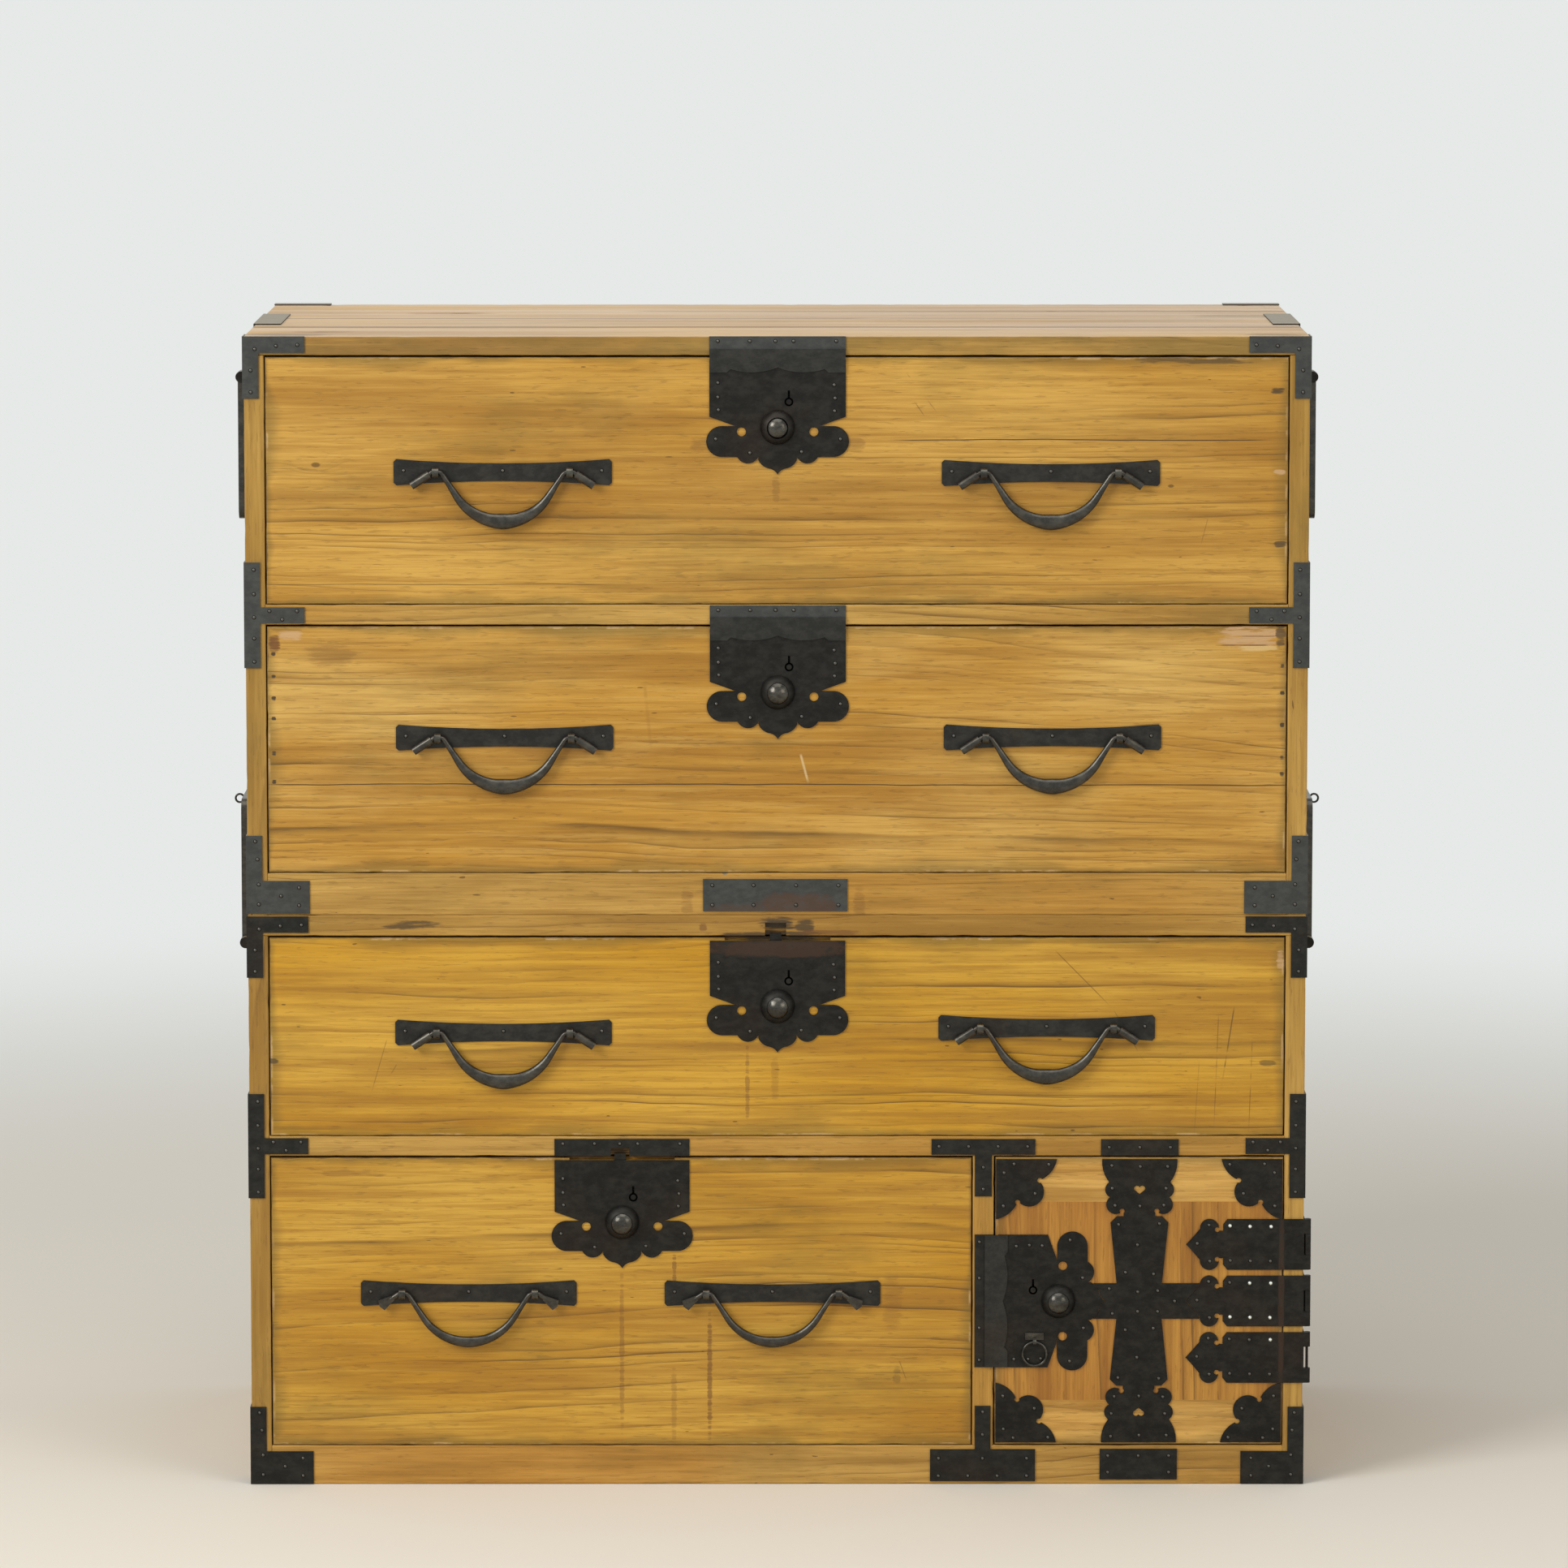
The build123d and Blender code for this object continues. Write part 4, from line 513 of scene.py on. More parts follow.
    def add_scratches(self, mix: Recipe, breaks: Socket) -> None:
        """Draw the scratches, broken here and there.

        Args:
            mix: material under construction.
            breaks: noise that interrupts the scratches.
        """
        for scratch in self.scratches:
            line = Vector(scratch.end) - Vector(scratch.start)
            run, side = line.normalized(), line.normalized().orthogonal()
            first, second = [mix.sum("SUBTRACT", mix.axes[axis], begin)
                             for axis, begin in zip(self.plane, scratch.start)]
            gap = mix.scaled(second, side.y, mix.times(first, side.x))
            place = mix.scaled(second, run.y, mix.times(first, run.x))
            width = scratch.half_width
            shown = mix.ramp(mix.sum("ABSOLUTE", gap), 2 * width, 0.5 * width)
            for part in (mix.ramp(place, 0.0, 0.1 * line.length),
                         mix.ramp(place, line.length, 0.7 * line.length),
                         mix.ramp(breaks, 0.34, 0.46)):
                shown = mix.times(shown, part)
            mix.tint(shown, scratch.strength, scratch.colour)

    def crack_shading(self, mix: Recipe, ripple: Socket) -> Socket | float:
        """Fine dark cracks along the fibres.

        Args:
            mix: material under construction.
            ripple: slow noise that makes the cracks wander.

        Returns:
            Factor of the cracks, or 0 where there are none.
        """
        total = 0.0
        along_axis, across_axis, _ = self.grain.value
        for crack in self.cracks:
            middle = crack.across - self.CRACK_WANDER / 2
            wander = mix.scaled(ripple, self.CRACK_WANDER, middle)
            gap = mix.sum("ABSOLUTE", mix.sum("SUBTRACT", mix.axes[across_axis], wander))
            line = mix.ramp(gap, 2 * crack.half_width, 0.5 * crack.half_width)
            begun = mix.ramp(mix.axes[along_axis], crack.start, crack.start + self.CRACK_END)
            over = mix.ramp(mix.axes[along_axis], crack.end, crack.end - self.CRACK_END)
            reach = mix.times(mix.times(begun, over), crack.strength)
            total = mix.sum("MAXIMUM", total, mix.times(line, reach))
        return total


@dataclass(frozen=True)
class BlackenedIron:
    """Hand-beaten or forged iron, fired black: dull sheen, faint hammering, some rust."""

    name: str
    black: str = "#252422"
    worn: str = "#34322E"
    rust: str = "#4A3423"
    rust_share: float = 0.16
    roughness: float = 0.52
    metallic: float = 0.88
    hammer_cell: float = 5 * MM
    hammer_depth: float = 0.12 * MM
    rust_spots: tuple[tuple[float, float, float, float, float], ...] = ()
    settled_dust: float = 0.0

    def build(self) -> Material:
        """Make the material.

        Returns:
            The iron material.
        """
        mix = Recipe(self.name, self.black)
        mottle = mix.noise((85.0, 85.0, 130.0), 5.0, 0.68)
        fine = mix.noise((420.0, 420.0, 900.0), 3.0, 0.6)
        broad = mix.noise((12.0, 12.0, 12.0), 3.0, 0.6, (3.0, 1.0, 7.0))
        mix.tint(mix.ramp(mottle, 0.36, 0.70), 1.0, self.worn)
        mix.tint(mix.ramp(fine, 0.45, 0.75), 0.30, self.worn)
        mix.tint(mix.ramp(broad, 0.50, 0.72), self.rust_share, self.rust)
        for across, up, half_width, half_height, strength in self.rust_spots:
            spans = (("X", across, half_width), ("Z", up, half_height))
            ragged = mix.scaled(mottle, 4.0, -2.0)
            ragged = mix.sum("ADD", ragged, mix.oval(spans, PLANE_POWER))
            mix.tint(mix.ramp(ragged, 1.4, 0.2), strength, IRON_RUST_COLOUR)
        metallic = self.metallic
        if self.settled_dust:
            dust = mix.times(mix.upward(), self.settled_dust)
            mix.tint(dust, 1.0, IRON_DUST_COLOUR)
            metallic = mix.scaled(dust, -0.9, self.metallic)
        gloss = mix.scaled(mottle, 0.26, self.roughness - 0.13)
        place = mix.in_cells((1 / self.hammer_cell,) * 3)
        inputs = {"Vector": place, "Scale": 1.0, "Smoothness": 0.6}
        dents = mix.add("TexVoronoi", inputs, feature="SMOOTH_F1").outputs["Distance"]
        height = mix.scaled(dents, 0.75, mix.times(fine, 0.22))
        return mix.finish(gloss, height, self.hammer_depth, Metallic=metallic)


@dataclass(frozen=True)
class NailHead:
    """Forged nail head: its crown rubbed bare and lit by a painted highlight, its rim darkened as
    painted contact shade.
    """

    name: str
    crown: str = "#5C5A54"
    rim: str = "#191614"
    roughness: float = 0.38

    def build(self) -> Material:
        """Make the material.

        Returns:
            The nail material.
        """
        mix = Recipe(self.name, self.rim)
        # Painted light: the part of the head that faces the front gets the crown colour as a
        # painted highlight on the rubbed crown, and the steep rim keeps the dark colour as painted
        # contact shade.
        facing = mix.add("NewGeometry").outputs["Normal"]
        outward = mix.add("SeparateXYZ", {"Vector": facing}).outputs["Y"]
        spots = mix.noise((300.0, 300.0, 300.0), 2.0, 0.5)
        crown = mix.scaled(spots, 0.2, mix.sum("ABSOLUTE", outward))
        mix.tint(mix.ramp(crown, 0.80, 1.04), 1.0, self.crown)
        return mix.finish(self.roughness, spots, 0.1 * MM, Metallic=0.9)


def cell_of(point: Vector) -> tuple:
    """Cell that holds a point: points in one cell count as one."""
    return tuple(round(c / WELD) for c in point)


def loose_parts(mesh: bpy.types.Mesh) -> list[tuple[list[int], Vector, Vector]]:
    """Split a mesh into the solids that it holds.

    Args:
        mesh: mesh whose faces may not share their vertices.

    Returns:
        For each solid its polygon numbers and the two corners of its box.
    """
    root = {}

    def find(key: tuple) -> tuple:
        """Follow a point to the point that stands for its solid."""
        while root[key] != key:
            root[key] = root[root[key]]
            key = root[key]
        return key

    keys = [cell_of(vert.co) for vert in mesh.vertices]
    for key in keys:
        root[key] = key
    for polygon in mesh.polygons:
        first = find(keys[polygon.vertices[0]])
        for index in polygon.vertices[1:]:
            root[find(keys[index])] = first
    groups = {}
    for polygon in mesh.polygons:
        groups.setdefault(find(keys[polygon.vertices[0]]), []).append(polygon.index)
    parts = []
    for numbers in groups.values():
        points = [mesh.vertices[i].co for n in numbers for i in mesh.polygons[n].vertices]
        parts.append((numbers, *box_of(points)))
    return parts


@dataclass
class EasedBoards:
    """The boards of one node with eased, slightly chipped edges in place of their sharp ones."""

    EASE = 1.1 * MM
    CHIP = 1.0 * MM
    CUT_STEP = 9 * MM
    SHORTEST_EDGE = 60 * MM
    ARRIS_BEND = math.radians(60)
    FLAT_BEND = math.radians(1)
    FLUSH = 0.05 * MM
    CLAMP_HEIGHT = 43 * MM
    BITE_CELLS = 42

    node: str
    body: str
    material: Material
    slot: str
    seed: float = 0.0
    clamp_material: Material | None = None
    boxes: list[tuple[Vector, Vector]] = field(init=False)

    def build(self) -> bpy.types.Object:
        """Make the boards, hide the frame's node and let them ride on its body.

        Returns:
            The finished object.
        """
        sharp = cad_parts[self.node].data
        parts = loose_parts(sharp)
        self.boxes = [(low, high) for _, low, high in parts]
        corners = {cell_of(sharp.vertices[i].co): (low, high) for numbers, low, high in parts
                   for number in numbers for i in sharp.polygons[number].vertices}
        shape = bmesh.new()
        shape.from_mesh(sharp)
        bmesh.ops.remove_doubles(shape, verts=shape.verts, dist=WELD)
        bmesh.ops.dissolve_limit(shape, angle_limit=self.FLAT_BEND, verts=shape.verts,
                                 edges=shape.edges)
        outer = [edge for edge in shape.edges if self.is_arris(edge, corners)]
        bmesh.ops.bevel(shape, geom=outer, offset=self.EASE, offset_type="OFFSET",
                        affect="EDGES", segments=2, profile=0.5, material=-1,
                        clamp_overlap=True)
        self.slice(shape)
        self.chip_edges(shape)
        bmesh.ops.recalc_face_normals(shape, faces=shape.faces)
        if self.clamp_material:
            low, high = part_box(self.node)
            for face in shape.faces:
                height = face.calc_center_median().z
                near_end = min(height - low.z, high.z - height) < self.CLAMP_HEIGHT
                face.material_index = int(near_end)
        mesh = bpy.data.meshes.new(f"{self.node}_eased")
        shape.to_mesh(mesh)
        shape.free()
        board = bpy.data.objects.new(f"{self.node}_eased", mesh)
        bpy.context.scene.collection.objects.link(board)
        mesh.materials.append(self.material)
        if self.clamp_material:
            mesh.materials.append(self.clamp_material)
        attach(board, self.body)
        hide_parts(self.node)
        log.info("%s: %d faces", board.name, len(mesh.polygons))
        return board

    def box_around(self, point: Vector) -> tuple[Vector, Vector]:
        """Find the board that holds a point.

        Args:
            point: point in or on a board.

        Returns:
            The two corners of that board's box.
        """
        for low, high in self.boxes:
            if all(low[i] - WELD <= point[i] <= high[i] + WELD for i in range(3)):
                return low, high
        return self.boxes[0]

    def is_arris(self, edge: bmesh.types.BMEdge, corners: dict) -> bool:
        """Tell whether an edge is a long outer arris of its board.

        Args:
            edge: edge of the boards' mesh.
            corners: cell of each vertex to the corners of its board's box.

        Returns:
            True for an edge that is to be eased.
        """
        if len(edge.link_faces) != 2 or edge.calc_length() < self.SHORTEST_EDGE:
            return False
        if edge.calc_face_angle(0.0) < self.ARRIS_BEND:
            return False
        low, high = corners[cell_of(edge.verts[0].co)]
        middle = (edge.verts[0].co + edge.verts[1].co) / 2
        flush = [min(middle[i] - low[i], high[i] - middle[i]) < self.FLUSH for i in range(3)]
        return sum(flush) >= 2

    def slice(self, shape: bmesh.types.BMesh) -> None:
        """Cut the boards across at short steps, so that their edges can wander.

        Args:
            shape: mesh of all boards of the node.
        """
        low, high = box_of([corner for box in self.boxes for corner in box])
        for axis in (0, 2):
            steps = int((high[axis] - low[axis]) / self.CUT_STEP)
            for step in range(1, steps):
                point = low.copy()
                point[axis] += (high[axis] - low[axis]) * step / steps
                normal = Vector([1.0 if i == axis else 0.0 for i in range(3)])
                everything = shape.verts[:] + shape.edges[:] + shape.faces[:]
                bmesh.ops.bisect_plane(shape, geom=everything, plane_co=point, plane_no=normal,
                                       dist=2 * WELD)

    def chip_edges(self, shape: bmesh.types.BMesh) -> None:
        """Push the arris points inwards by an uneven amount.

        Args:
            shape: mesh of all boards of the node.
        """
        near = self.EASE * 1.05
        for vert in shape.verts:
            low, high = self.box_around(vert.co)
            inward = Vector((0.0, 0.0, 0.0))
            for i in range(3):
                if vert.co[i] - low[i] < near:
                    inward[i] = 1.0
                elif high[i] - vert.co[i] < near:
                    inward[i] = -1.0
            if sum(abs(c) for c in inward) < 2:
                continue
            spot = vert.co * self.BITE_CELLS + Vector((self.seed, self.seed * 2, 0.0))
            bite = max(0.0, noise.noise(spot) * 0.7 + noise.noise(spot * 3.7) * 0.5)
            vert.co += inward * (bite ** 1.5) * self.CHIP


@dataclass(frozen=True)
class Lamp:
    """One soft square lamp: its place, the point that it faces, size in metres, watts and tint."""

    name: str
    place: tuple[float, float, float]
    target: tuple[float, float, float]
    size: float
    power: float
    tint: str

    def build(self) -> None:
        """Hang the lamp."""
        data = bpy.data.lights.new(self.name, "AREA")
        data.size, data.energy = self.size, self.power
        data.color = linear(self.tint)[:3]
        lamp = bpy.data.objects.new(self.name, data)
        lamp.location = self.place
        towards = Vector(self.target) - Vector(self.place)
        lamp.rotation_euler = towards.to_track_quat("-Z", "Y").to_euler()
        bpy.context.scene.collection.objects.link(lamp)


class Studio:
    """Floor, pale surroundings, lamps and the camera."""

    CAMERA_PLACE = (0.0, -6.8495, 1.5856)
    CAMERA_PITCH = 0.1040
    CAMERA_YAW = 0.0010
    FOCAL_LENGTH = 162.95
    SENSOR_WIDTH = 36.0
    LENS_SHIFT_UP = -0.1482
    CLIP_END = 60.0
    FLOOR_COLOUR = "#E4DDD0"
    FLOOR_RADIUS = 3.4
    FLOOR_FADE = 0.35
    FLOOR_DROP = 0.2 * MM
    WALL_COLOUR = "#E6E9E7"
    ROOM_LIGHT = "#E8ECEF"
    ROOM_STRENGTH = 0.45
    LAMPS = (
        Lamp("window_left", (-3.4, -3.2, 3.1), (0.0, 0.0, 0.6), 2.2, 142.0, "#FFFFFF"),
        Lamp("window_right", (3.8, -3.6, 2.4), (0.0, 0.0, 0.5), 2.4, 46.0, "#FFF6EC"),
        Lamp("ceiling", (0.0, -0.6, 3.6), (0.0, 0.0, 0.5), 2.8, 50.0, "#FFFFFF"),
    )

    def build(self) -> None:
        """Make the floor, the lamps and the camera."""
        self.add_floor()
        for lamp in self.LAMPS:
            lamp.build()
        self.light_world()
        self.add_camera()
        bpy.context.scene.view_settings.view_transform = "Standard"
        log.info("studio ready")

    def add_floor(self) -> None:
        """Plain round floor that fades into the pale room round about."""
        shape = bmesh.new()
        bmesh.ops.create_circle(shape, cap_ends=True, segments=96, radius=self.FLOOR_RADIUS)
        bmesh.ops.translate(shape, verts=shape.verts, vec=(0.0, 0.0, -self.FLOOR_DROP))
        mesh = bpy.data.meshes.new("studio_floor")
        shape.to_mesh(mesh)
        shape.free()
        floor = bpy.data.objects.new("studio_floor", mesh)
        bpy.context.scene.collection.objects.link(floor)
        mix = Recipe("matt_studio_floor", self.FLOOR_COLOUR)
        away = mix.add("VectorMath", {0: mix.place}, operation="LENGTH").outputs["Value"]
        paint = mix.add("BsdfDiffuse", {"Color": mix.colour}).outputs["BSDF"]
        clear = mix.add("BsdfTransparent").outputs["BSDF"]
        fade = mix.ramp(away, self.FLOOR_FADE * self.FLOOR_RADIUS, self.FLOOR_RADIUS)
        blend = mix.add("MixShader", {0: fade, 1: paint, 2: clear}).outputs["Shader"]
        mix.add("OutputMaterial", {"Surface": blend})
        mesh.materials.append(mix.material)

    def light_world(self) -> None:
        """Even pale light from all round, seen as a plain pale wall."""
        world = bpy.data.worlds.new("pale_room")
        bpy.context.scene.world = world
        world.use_nodes = True
        tree = world.node_tree
        tree.nodes.clear()
        ray = add_node(tree, "LightPath").outputs
        seen = ray["Is Camera Ray"]
        for kind in ("Is Glossy Ray", "Is Transmission Ray"):
            inputs = {0: seen, 1: ray[kind]}
            seen = add_node(tree, "Math", inputs, operation="MAXIMUM").outputs[0]
        light = add_node(tree, "Background", {"Color": linear(self.ROOM_LIGHT),
                                              "Strength": self.ROOM_STRENGTH})
        wall = add_node(tree, "Background", {"Color": linear(self.WALL_COLOUR), "Strength": 1.0})
        blend = add_node(tree, "MixShader", {0: seen, 1: light.outputs[0], 2: wall.outputs[0]})
        add_node(tree, "OutputWorld", {"Surface": blend.outputs["Shader"]})

    def add_camera(self) -> None:
        """Long-lens camera straight in front, a little above the chest, with a falling front."""
        data = bpy.data.cameras.new("front_camera")
        data.lens, data.sensor_width = self.FOCAL_LENGTH, self.SENSOR_WIDTH
        data.shift_y = self.LENS_SHIFT_UP
        data.clip_end = self.CLIP_END
        camera = bpy.data.objects.new("front_camera", data)
        camera.location = self.CAMERA_PLACE
        camera.rotation_euler = (math.pi / 2 - self.CAMERA_PITCH, 0.0, -self.CAMERA_YAW)
        bpy.context.scene.collection.objects.link(camera)
        bpy.context.scene.camera = camera


def face_limits(node: str) -> tuple[tuple[float, float], tuple[float, float]]:
    """Lowest and highest X and Z of a node's front face."""
    low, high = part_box(node)
    return (low.x, low.z), (high.x, high.z)


class IronPart(Enum):
    """What a solid of an iron node is, with the number of its material."""

    SHEET = 0
    NAIL = 1
    NEW_NAIL = 2
    RUBBED = 3
    COVER = 4


@dataclass
class Ironwork:
    """Dresses iron nodes: one finish for the sheet, others for nails, collars and strips."""

    LARGEST_NAIL = 4.6 * MM
    NAIL_SPREAD = 3 * MM
    COLLAR_DEPTH = 9 * MM
    COLLAR_WIDTHS = (30 * MM, 36 * MM)
    BRACKET_DEPTHS = (4 * MM, 6 * MM)
    BRACKET_WIDTHS = (15 * MM, 20 * MM)
    EYE_DEPTH = 25 * MM
    EYE_WIDTH = 20 * MM
    COVER_DEPTH = 2 * MM
    COVER_WIDTHS = (21 * MM, 22.5 * MM)
    COVER_LENGTH = 120 * MM

    nail: Material
    new_nail: Material
    rubbed: Material
    cover: Material

    def dress(self, node: str, iron: Material, new_nails: tuple = ()) -> None:
        """Give a node its iron and its nails.

        Args:
            node: node of the frame.
            iron: finish of its sheet.
            new_nails: X and Z of the nails that are new and bright.
        """
        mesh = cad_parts[node].data
        mesh.materials.clear()
        for material in (iron, self.nail, self.new_nail, self.rubbed, self.cover):
            mesh.materials.append(material)
        count = 0
        for numbers, low, high in loose_parts(mesh):
            middle = (low + high) / 2
            part = self.part_of(high - low)
            if part == IronPart.NAIL:
                count += 1
                for x, z in new_nails:
                    if math.hypot(middle.x - x, middle.z - z) < self.NAIL_SPREAD:
                        part = IronPart.NEW_NAIL
            for number in numbers:
                mesh.polygons[number].material_index = part.value
        log.info("%s: %d nail heads", node, count)

    def part_of(self, size: Vector) -> IronPart:
        """Tell from its size what a solid is.

        Args:
            size: sides of the solid's box.

        Returns:
            Sheet, nail, rubbed (a collar, bracket or handle eye) or cover strip.
        """
        if max(size) <= self.LARGEST_NAIL:
            return IronPart.NAIL
        square = abs(size.x - size.z) < 1 * MM
        collar_low, collar_high = self.COLLAR_WIDTHS
        if size.y > self.COLLAR_DEPTH and square and collar_low < size.x < collar_high:
            return IronPart.RUBBED
        shallow, deep = self.BRACKET_DEPTHS
        narrow, wide = self.BRACKET_WIDTHS
        if shallow < size.y < deep and size.x > narrow and max(size) < wide:
            return IronPart.RUBBED
        if size.y > self.EYE_DEPTH and max(size.x, size.z) < self.EYE_WIDTH:
            return IronPart.RUBBED
        strip_low, strip_high = self.COVER_WIDTHS
        if size.y < self.COVER_DEPTH and strip_low < min(size.x, size.z) < strip_high:
            return IronPart.COVER if max(size) > self.COVER_LENGTH else IronPart.SHEET
        return IronPart.SHEET


@dataclass(frozen=True)
class Finishes:
    """Everything that the pieces are dressed with: irons by name, nails, and bare inner boards."""

    irons: dict[str, Material]
    ironwork: Ironwork
    inner: tuple[Material, Material]


def dress(node: str, material: Material) -> None:
    """Give a frame node one material.

    Args:
        node: node of the frame.
        material: its finish.
    """
    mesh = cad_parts[node].data
    mesh.materials.clear()
    mesh.materials.append(material)


def dress_box(node: str, crosswise: Material, lengthwise: Material) -> None:
    """Give the boards of a drawer their grain.

    Args:
        node: node of the frame.
        crosswise: finish of floor, front and back, with fibres from left to right.
        lengthwise: finish of the two sides, with fibres from front to back.
    """
    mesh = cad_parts[node].data
    mesh.materials.clear()
    mesh.materials.append(crosswise)
    mesh.materials.append(lengthwise)
    for polygon in mesh.polygons:
        polygon.material_index = int(abs(polygon.normal.x) > 0.7)


@dataclass(frozen=True)
class DrawerFront:
    """One drawer: eased face board, plain inner boards and its iron."""

    number: int
    seed: float
    marks: tuple[Mark, ...] = ()
    cracks: tuple[Crack, ...] = ()
    knots: tuple[tuple[float, float, float], ...] = ()
    scratches: tuple[Scratch, ...] = ()
    middle: str = "#BC892E"
    pale: str = "#D6AB58"
    lock_iron: str = "sheet"

    def build(self, finishes: Finishes) -> None:
        """Dress this drawer.

        Args:
            finishes: irons, nails and inner boards.
        """
        name = f"drawer_{self.number}"
        low, high = face_limits(f"{name}_face")
        wood = VarnishedPaulownia(f"varnished_paulownia_{name}", Grain.LENGTHWISE, self.seed,
                                  middle=self.middle, pale=self.pale, face_low=low,
                                  face_high=high, marks=self.marks, cracks=self.cracks,
                                  knots=self.knots, scratches=self.scratches).build()
        EasedBoards(f"{name}_face", name, wood, "drawer_wood", seed=self.seed).build()
        dress_box(f"{name}_box", *finishes.inner)
        irons, ironwork = finishes.irons, finishes.ironwork
        ironwork.dress(f"{name}_lock", irons[self.lock_iron])
        dress(f"{name}_lock_button", irons["polished"])
        dress(f"{name}_lock_bolt", irons["sheet"])
        ironwork.dress(f"{name}_handle_plates", irons["plate"])
        for side in ("left", "right"):
            dress(f"{name}_handle_{side}", irons["forged"])
        log.info("%s dressed", name)


@dataclass(frozen=True)
class BoardSet:
    """Boards of one node of a case: seed of the noise, tone, run of the fibres and marks."""

    node: str
    seed: float
    middle: str
    grain: Grain = Grain.LENGTHWISE
    marks: tuple[Mark, ...] = ()
    cracks: tuple[Crack, ...] = ()
    knots: tuple[tuple[float, float, float], ...] = ()
    dusty_top: float = 0.0

    def build(self) -> None:
        """Finish the boards."""
        wood = VarnishedPaulownia(f"varnished_paulownia_{self.node}", self.grain, self.seed,
                                  middle=self.middle, pale="#CDA252", deep="#8F6624",
                                  roughness=0.50, marks=self.marks, cracks=self.cracks,
                                  dusty_top=self.dusty_top, knots=self.knots).build()
        EasedBoards(self.node, "chest", wood, "case_wood", seed=self.seed).build()


class Cases:
    """Boards and irons of the two cases."""

    def build(self, finishes: Finishes) -> None:
        """Dress both cases.

        Args:
            finishes: irons, nails and inner boards.
        """
        for boards in BOARDS:
            boards.build()
        irons, ironwork = finishes.irons, finishes.ironwork
        ironwork.dress("upper_case_irons", irons["dust_and_painted_light"])
        ironwork.dress("lower_case_irons", irons["lower"])
        ironwork.dress("carrier_mounts", irons["mount"])
        ironwork.dress("door_hinge_leaves", irons["sheet"])
        dress_box("small_drawers", *finishes.inner)
        dress("small_drawer_pulls", irons["sheet"])
        for level in ("upper", "lower"):
            for side in ("left", "right"):
                dress(f"carrier_{level}_{side}", irons["forged"])
        log.info("cases dressed")


@dataclass(frozen=True)
class Door:
    """Small door: boards, straps, hinges and lock.

    A new nail is given by its hinge, 1 for the upper one to -1 for the lower one, and its place in
    millimetres from the case's side and from the middle of that hinge.
    """

    new_nails: tuple[tuple[int, float, float], ...] = (
        (1, -51, 17.3), (1, -70, 18), (1, -31, 17.2), (0, -51, 17.3), (0, -31, 17.2),
        (0, -69.5, -15.4), (0, -50.5, -15.8), (0, -31.5, -16), (-1, -31, 17.2),
    )
    hinge_spacing: float = 54.6 * MM
    side: float = 500 * MM

    def build(self, finishes: Finishes) -> None:
        """Dress the door.

        Args:
            finishes: irons, nails and inner boards.
        """
        low, high = face_limits("door_boards")
        limits = {"face_low": low, "face_high": high}
        upright = VarnishedPaulownia("varnished_paulownia_door_panel", Grain.UPRIGHT, 21.0,
                                     middle="#AC7028", pale="#C8923E", deep="#8A561C",
                                     **limits).build()
        clamps = VarnishedPaulownia("varnished_paulownia_door_clamps", Grain.LENGTHWISE, 23.0,
                                    middle="#D09A44", pale="#E4B866", **limits).build()
        EasedBoards("door_boards", "door", upright, "drawer_wood", seed=21.0,
                    clamp_material=clamps).build()
        irons, ironwork = finishes.irons, finishes.ironwork
        ironwork.dress("door_straps", irons["sheet"])
        low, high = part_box("door_hinge_straps")
        middle = (low.z + high.z) / 2
        new_nails = tuple((self.side + x * MM, middle + row * self.hinge_spacing + z * MM)
                          for row, x, z in self.new_nails)
        ironwork.dress("door_hinge_straps", irons["hinge"], new_nails)
        ironwork.dress("door_lock", irons["sheet"])
        dress("door_lock_button", irons["polished"])
        dress("door_lock_bolt", irons["sheet"])
        dress("door_pull_ring", irons["polished"])
        log.info("door dressed")


RUST, SOOT_AND_PAINTED_SHADE, TORN = MarkKind.RUST_STAIN, MarkKind.SOOT_AND_PAINTED_SHADE, MarkKind.TORN_WOOD
IRONS = {
    "sheet": BlackenedIron("fired_black_sheet_iron"),
    "lock_3": BlackenedIron("fired_black_sheet_iron_rubbed_brown",
                            rust_spots=((0.0005, 0.5165, 0.062, 0.009, 0.4),)),
    "hinge": BlackenedIron("fired_black_hinge_iron",
                           rust_spots=((0.479, 0.178, 0.0028, 0.09, 0.3),)),
    # Lighter grey than the other sheet iron: settled dust, and painted light where the upper irons
    # catch more of it.
    "dust_and_painted_light": BlackenedIron("dusty_sheet_iron_with_painted_light", black="#454644", worn="#525350",
                           roughness=0.55, settled_dust=0.6,
                           rust_spots=((0.02, 0.556, 0.036, 0.013, 0.6),
                                       (-0.035, 0.552, 0.03, 0.007, 0.4),
                                       (-0.475, 1.0975, 0.04, 0.0014, 0.5),
                                       (0.475, 1.0975, 0.04, 0.0014, 0.5))),
    "mount": BlackenedIron("dusty_side_mount_iron", settled_dust=0.65),
    "plate": BlackenedIron("black_handle_plate_iron", black="#2F2E2C", worn="#3F3D38"),
    "lower": BlackenedIron("black_sheet_iron_lower_case", black="#292927", worn="#373632"),
    "forged": BlackenedIron("rubbed_forged_iron", black="#3F3D39", worn="#56534C",
                            roughness=0.3, metallic=0.92, hammer_cell=9 * MM, rust_share=0.12),
    "polished": BlackenedIron("hand_worn_hammered_iron", black="#3C3A36", worn="#5B5952",
                              roughness=0.26, metallic=0.92, hammer_cell=6 * MM,
                              hammer_depth=0.35 * MM, rust_share=0.1),
    "cover": BlackenedIron("black_cover_strip_iron", black="#31312F", worn="#403F3B"),
}
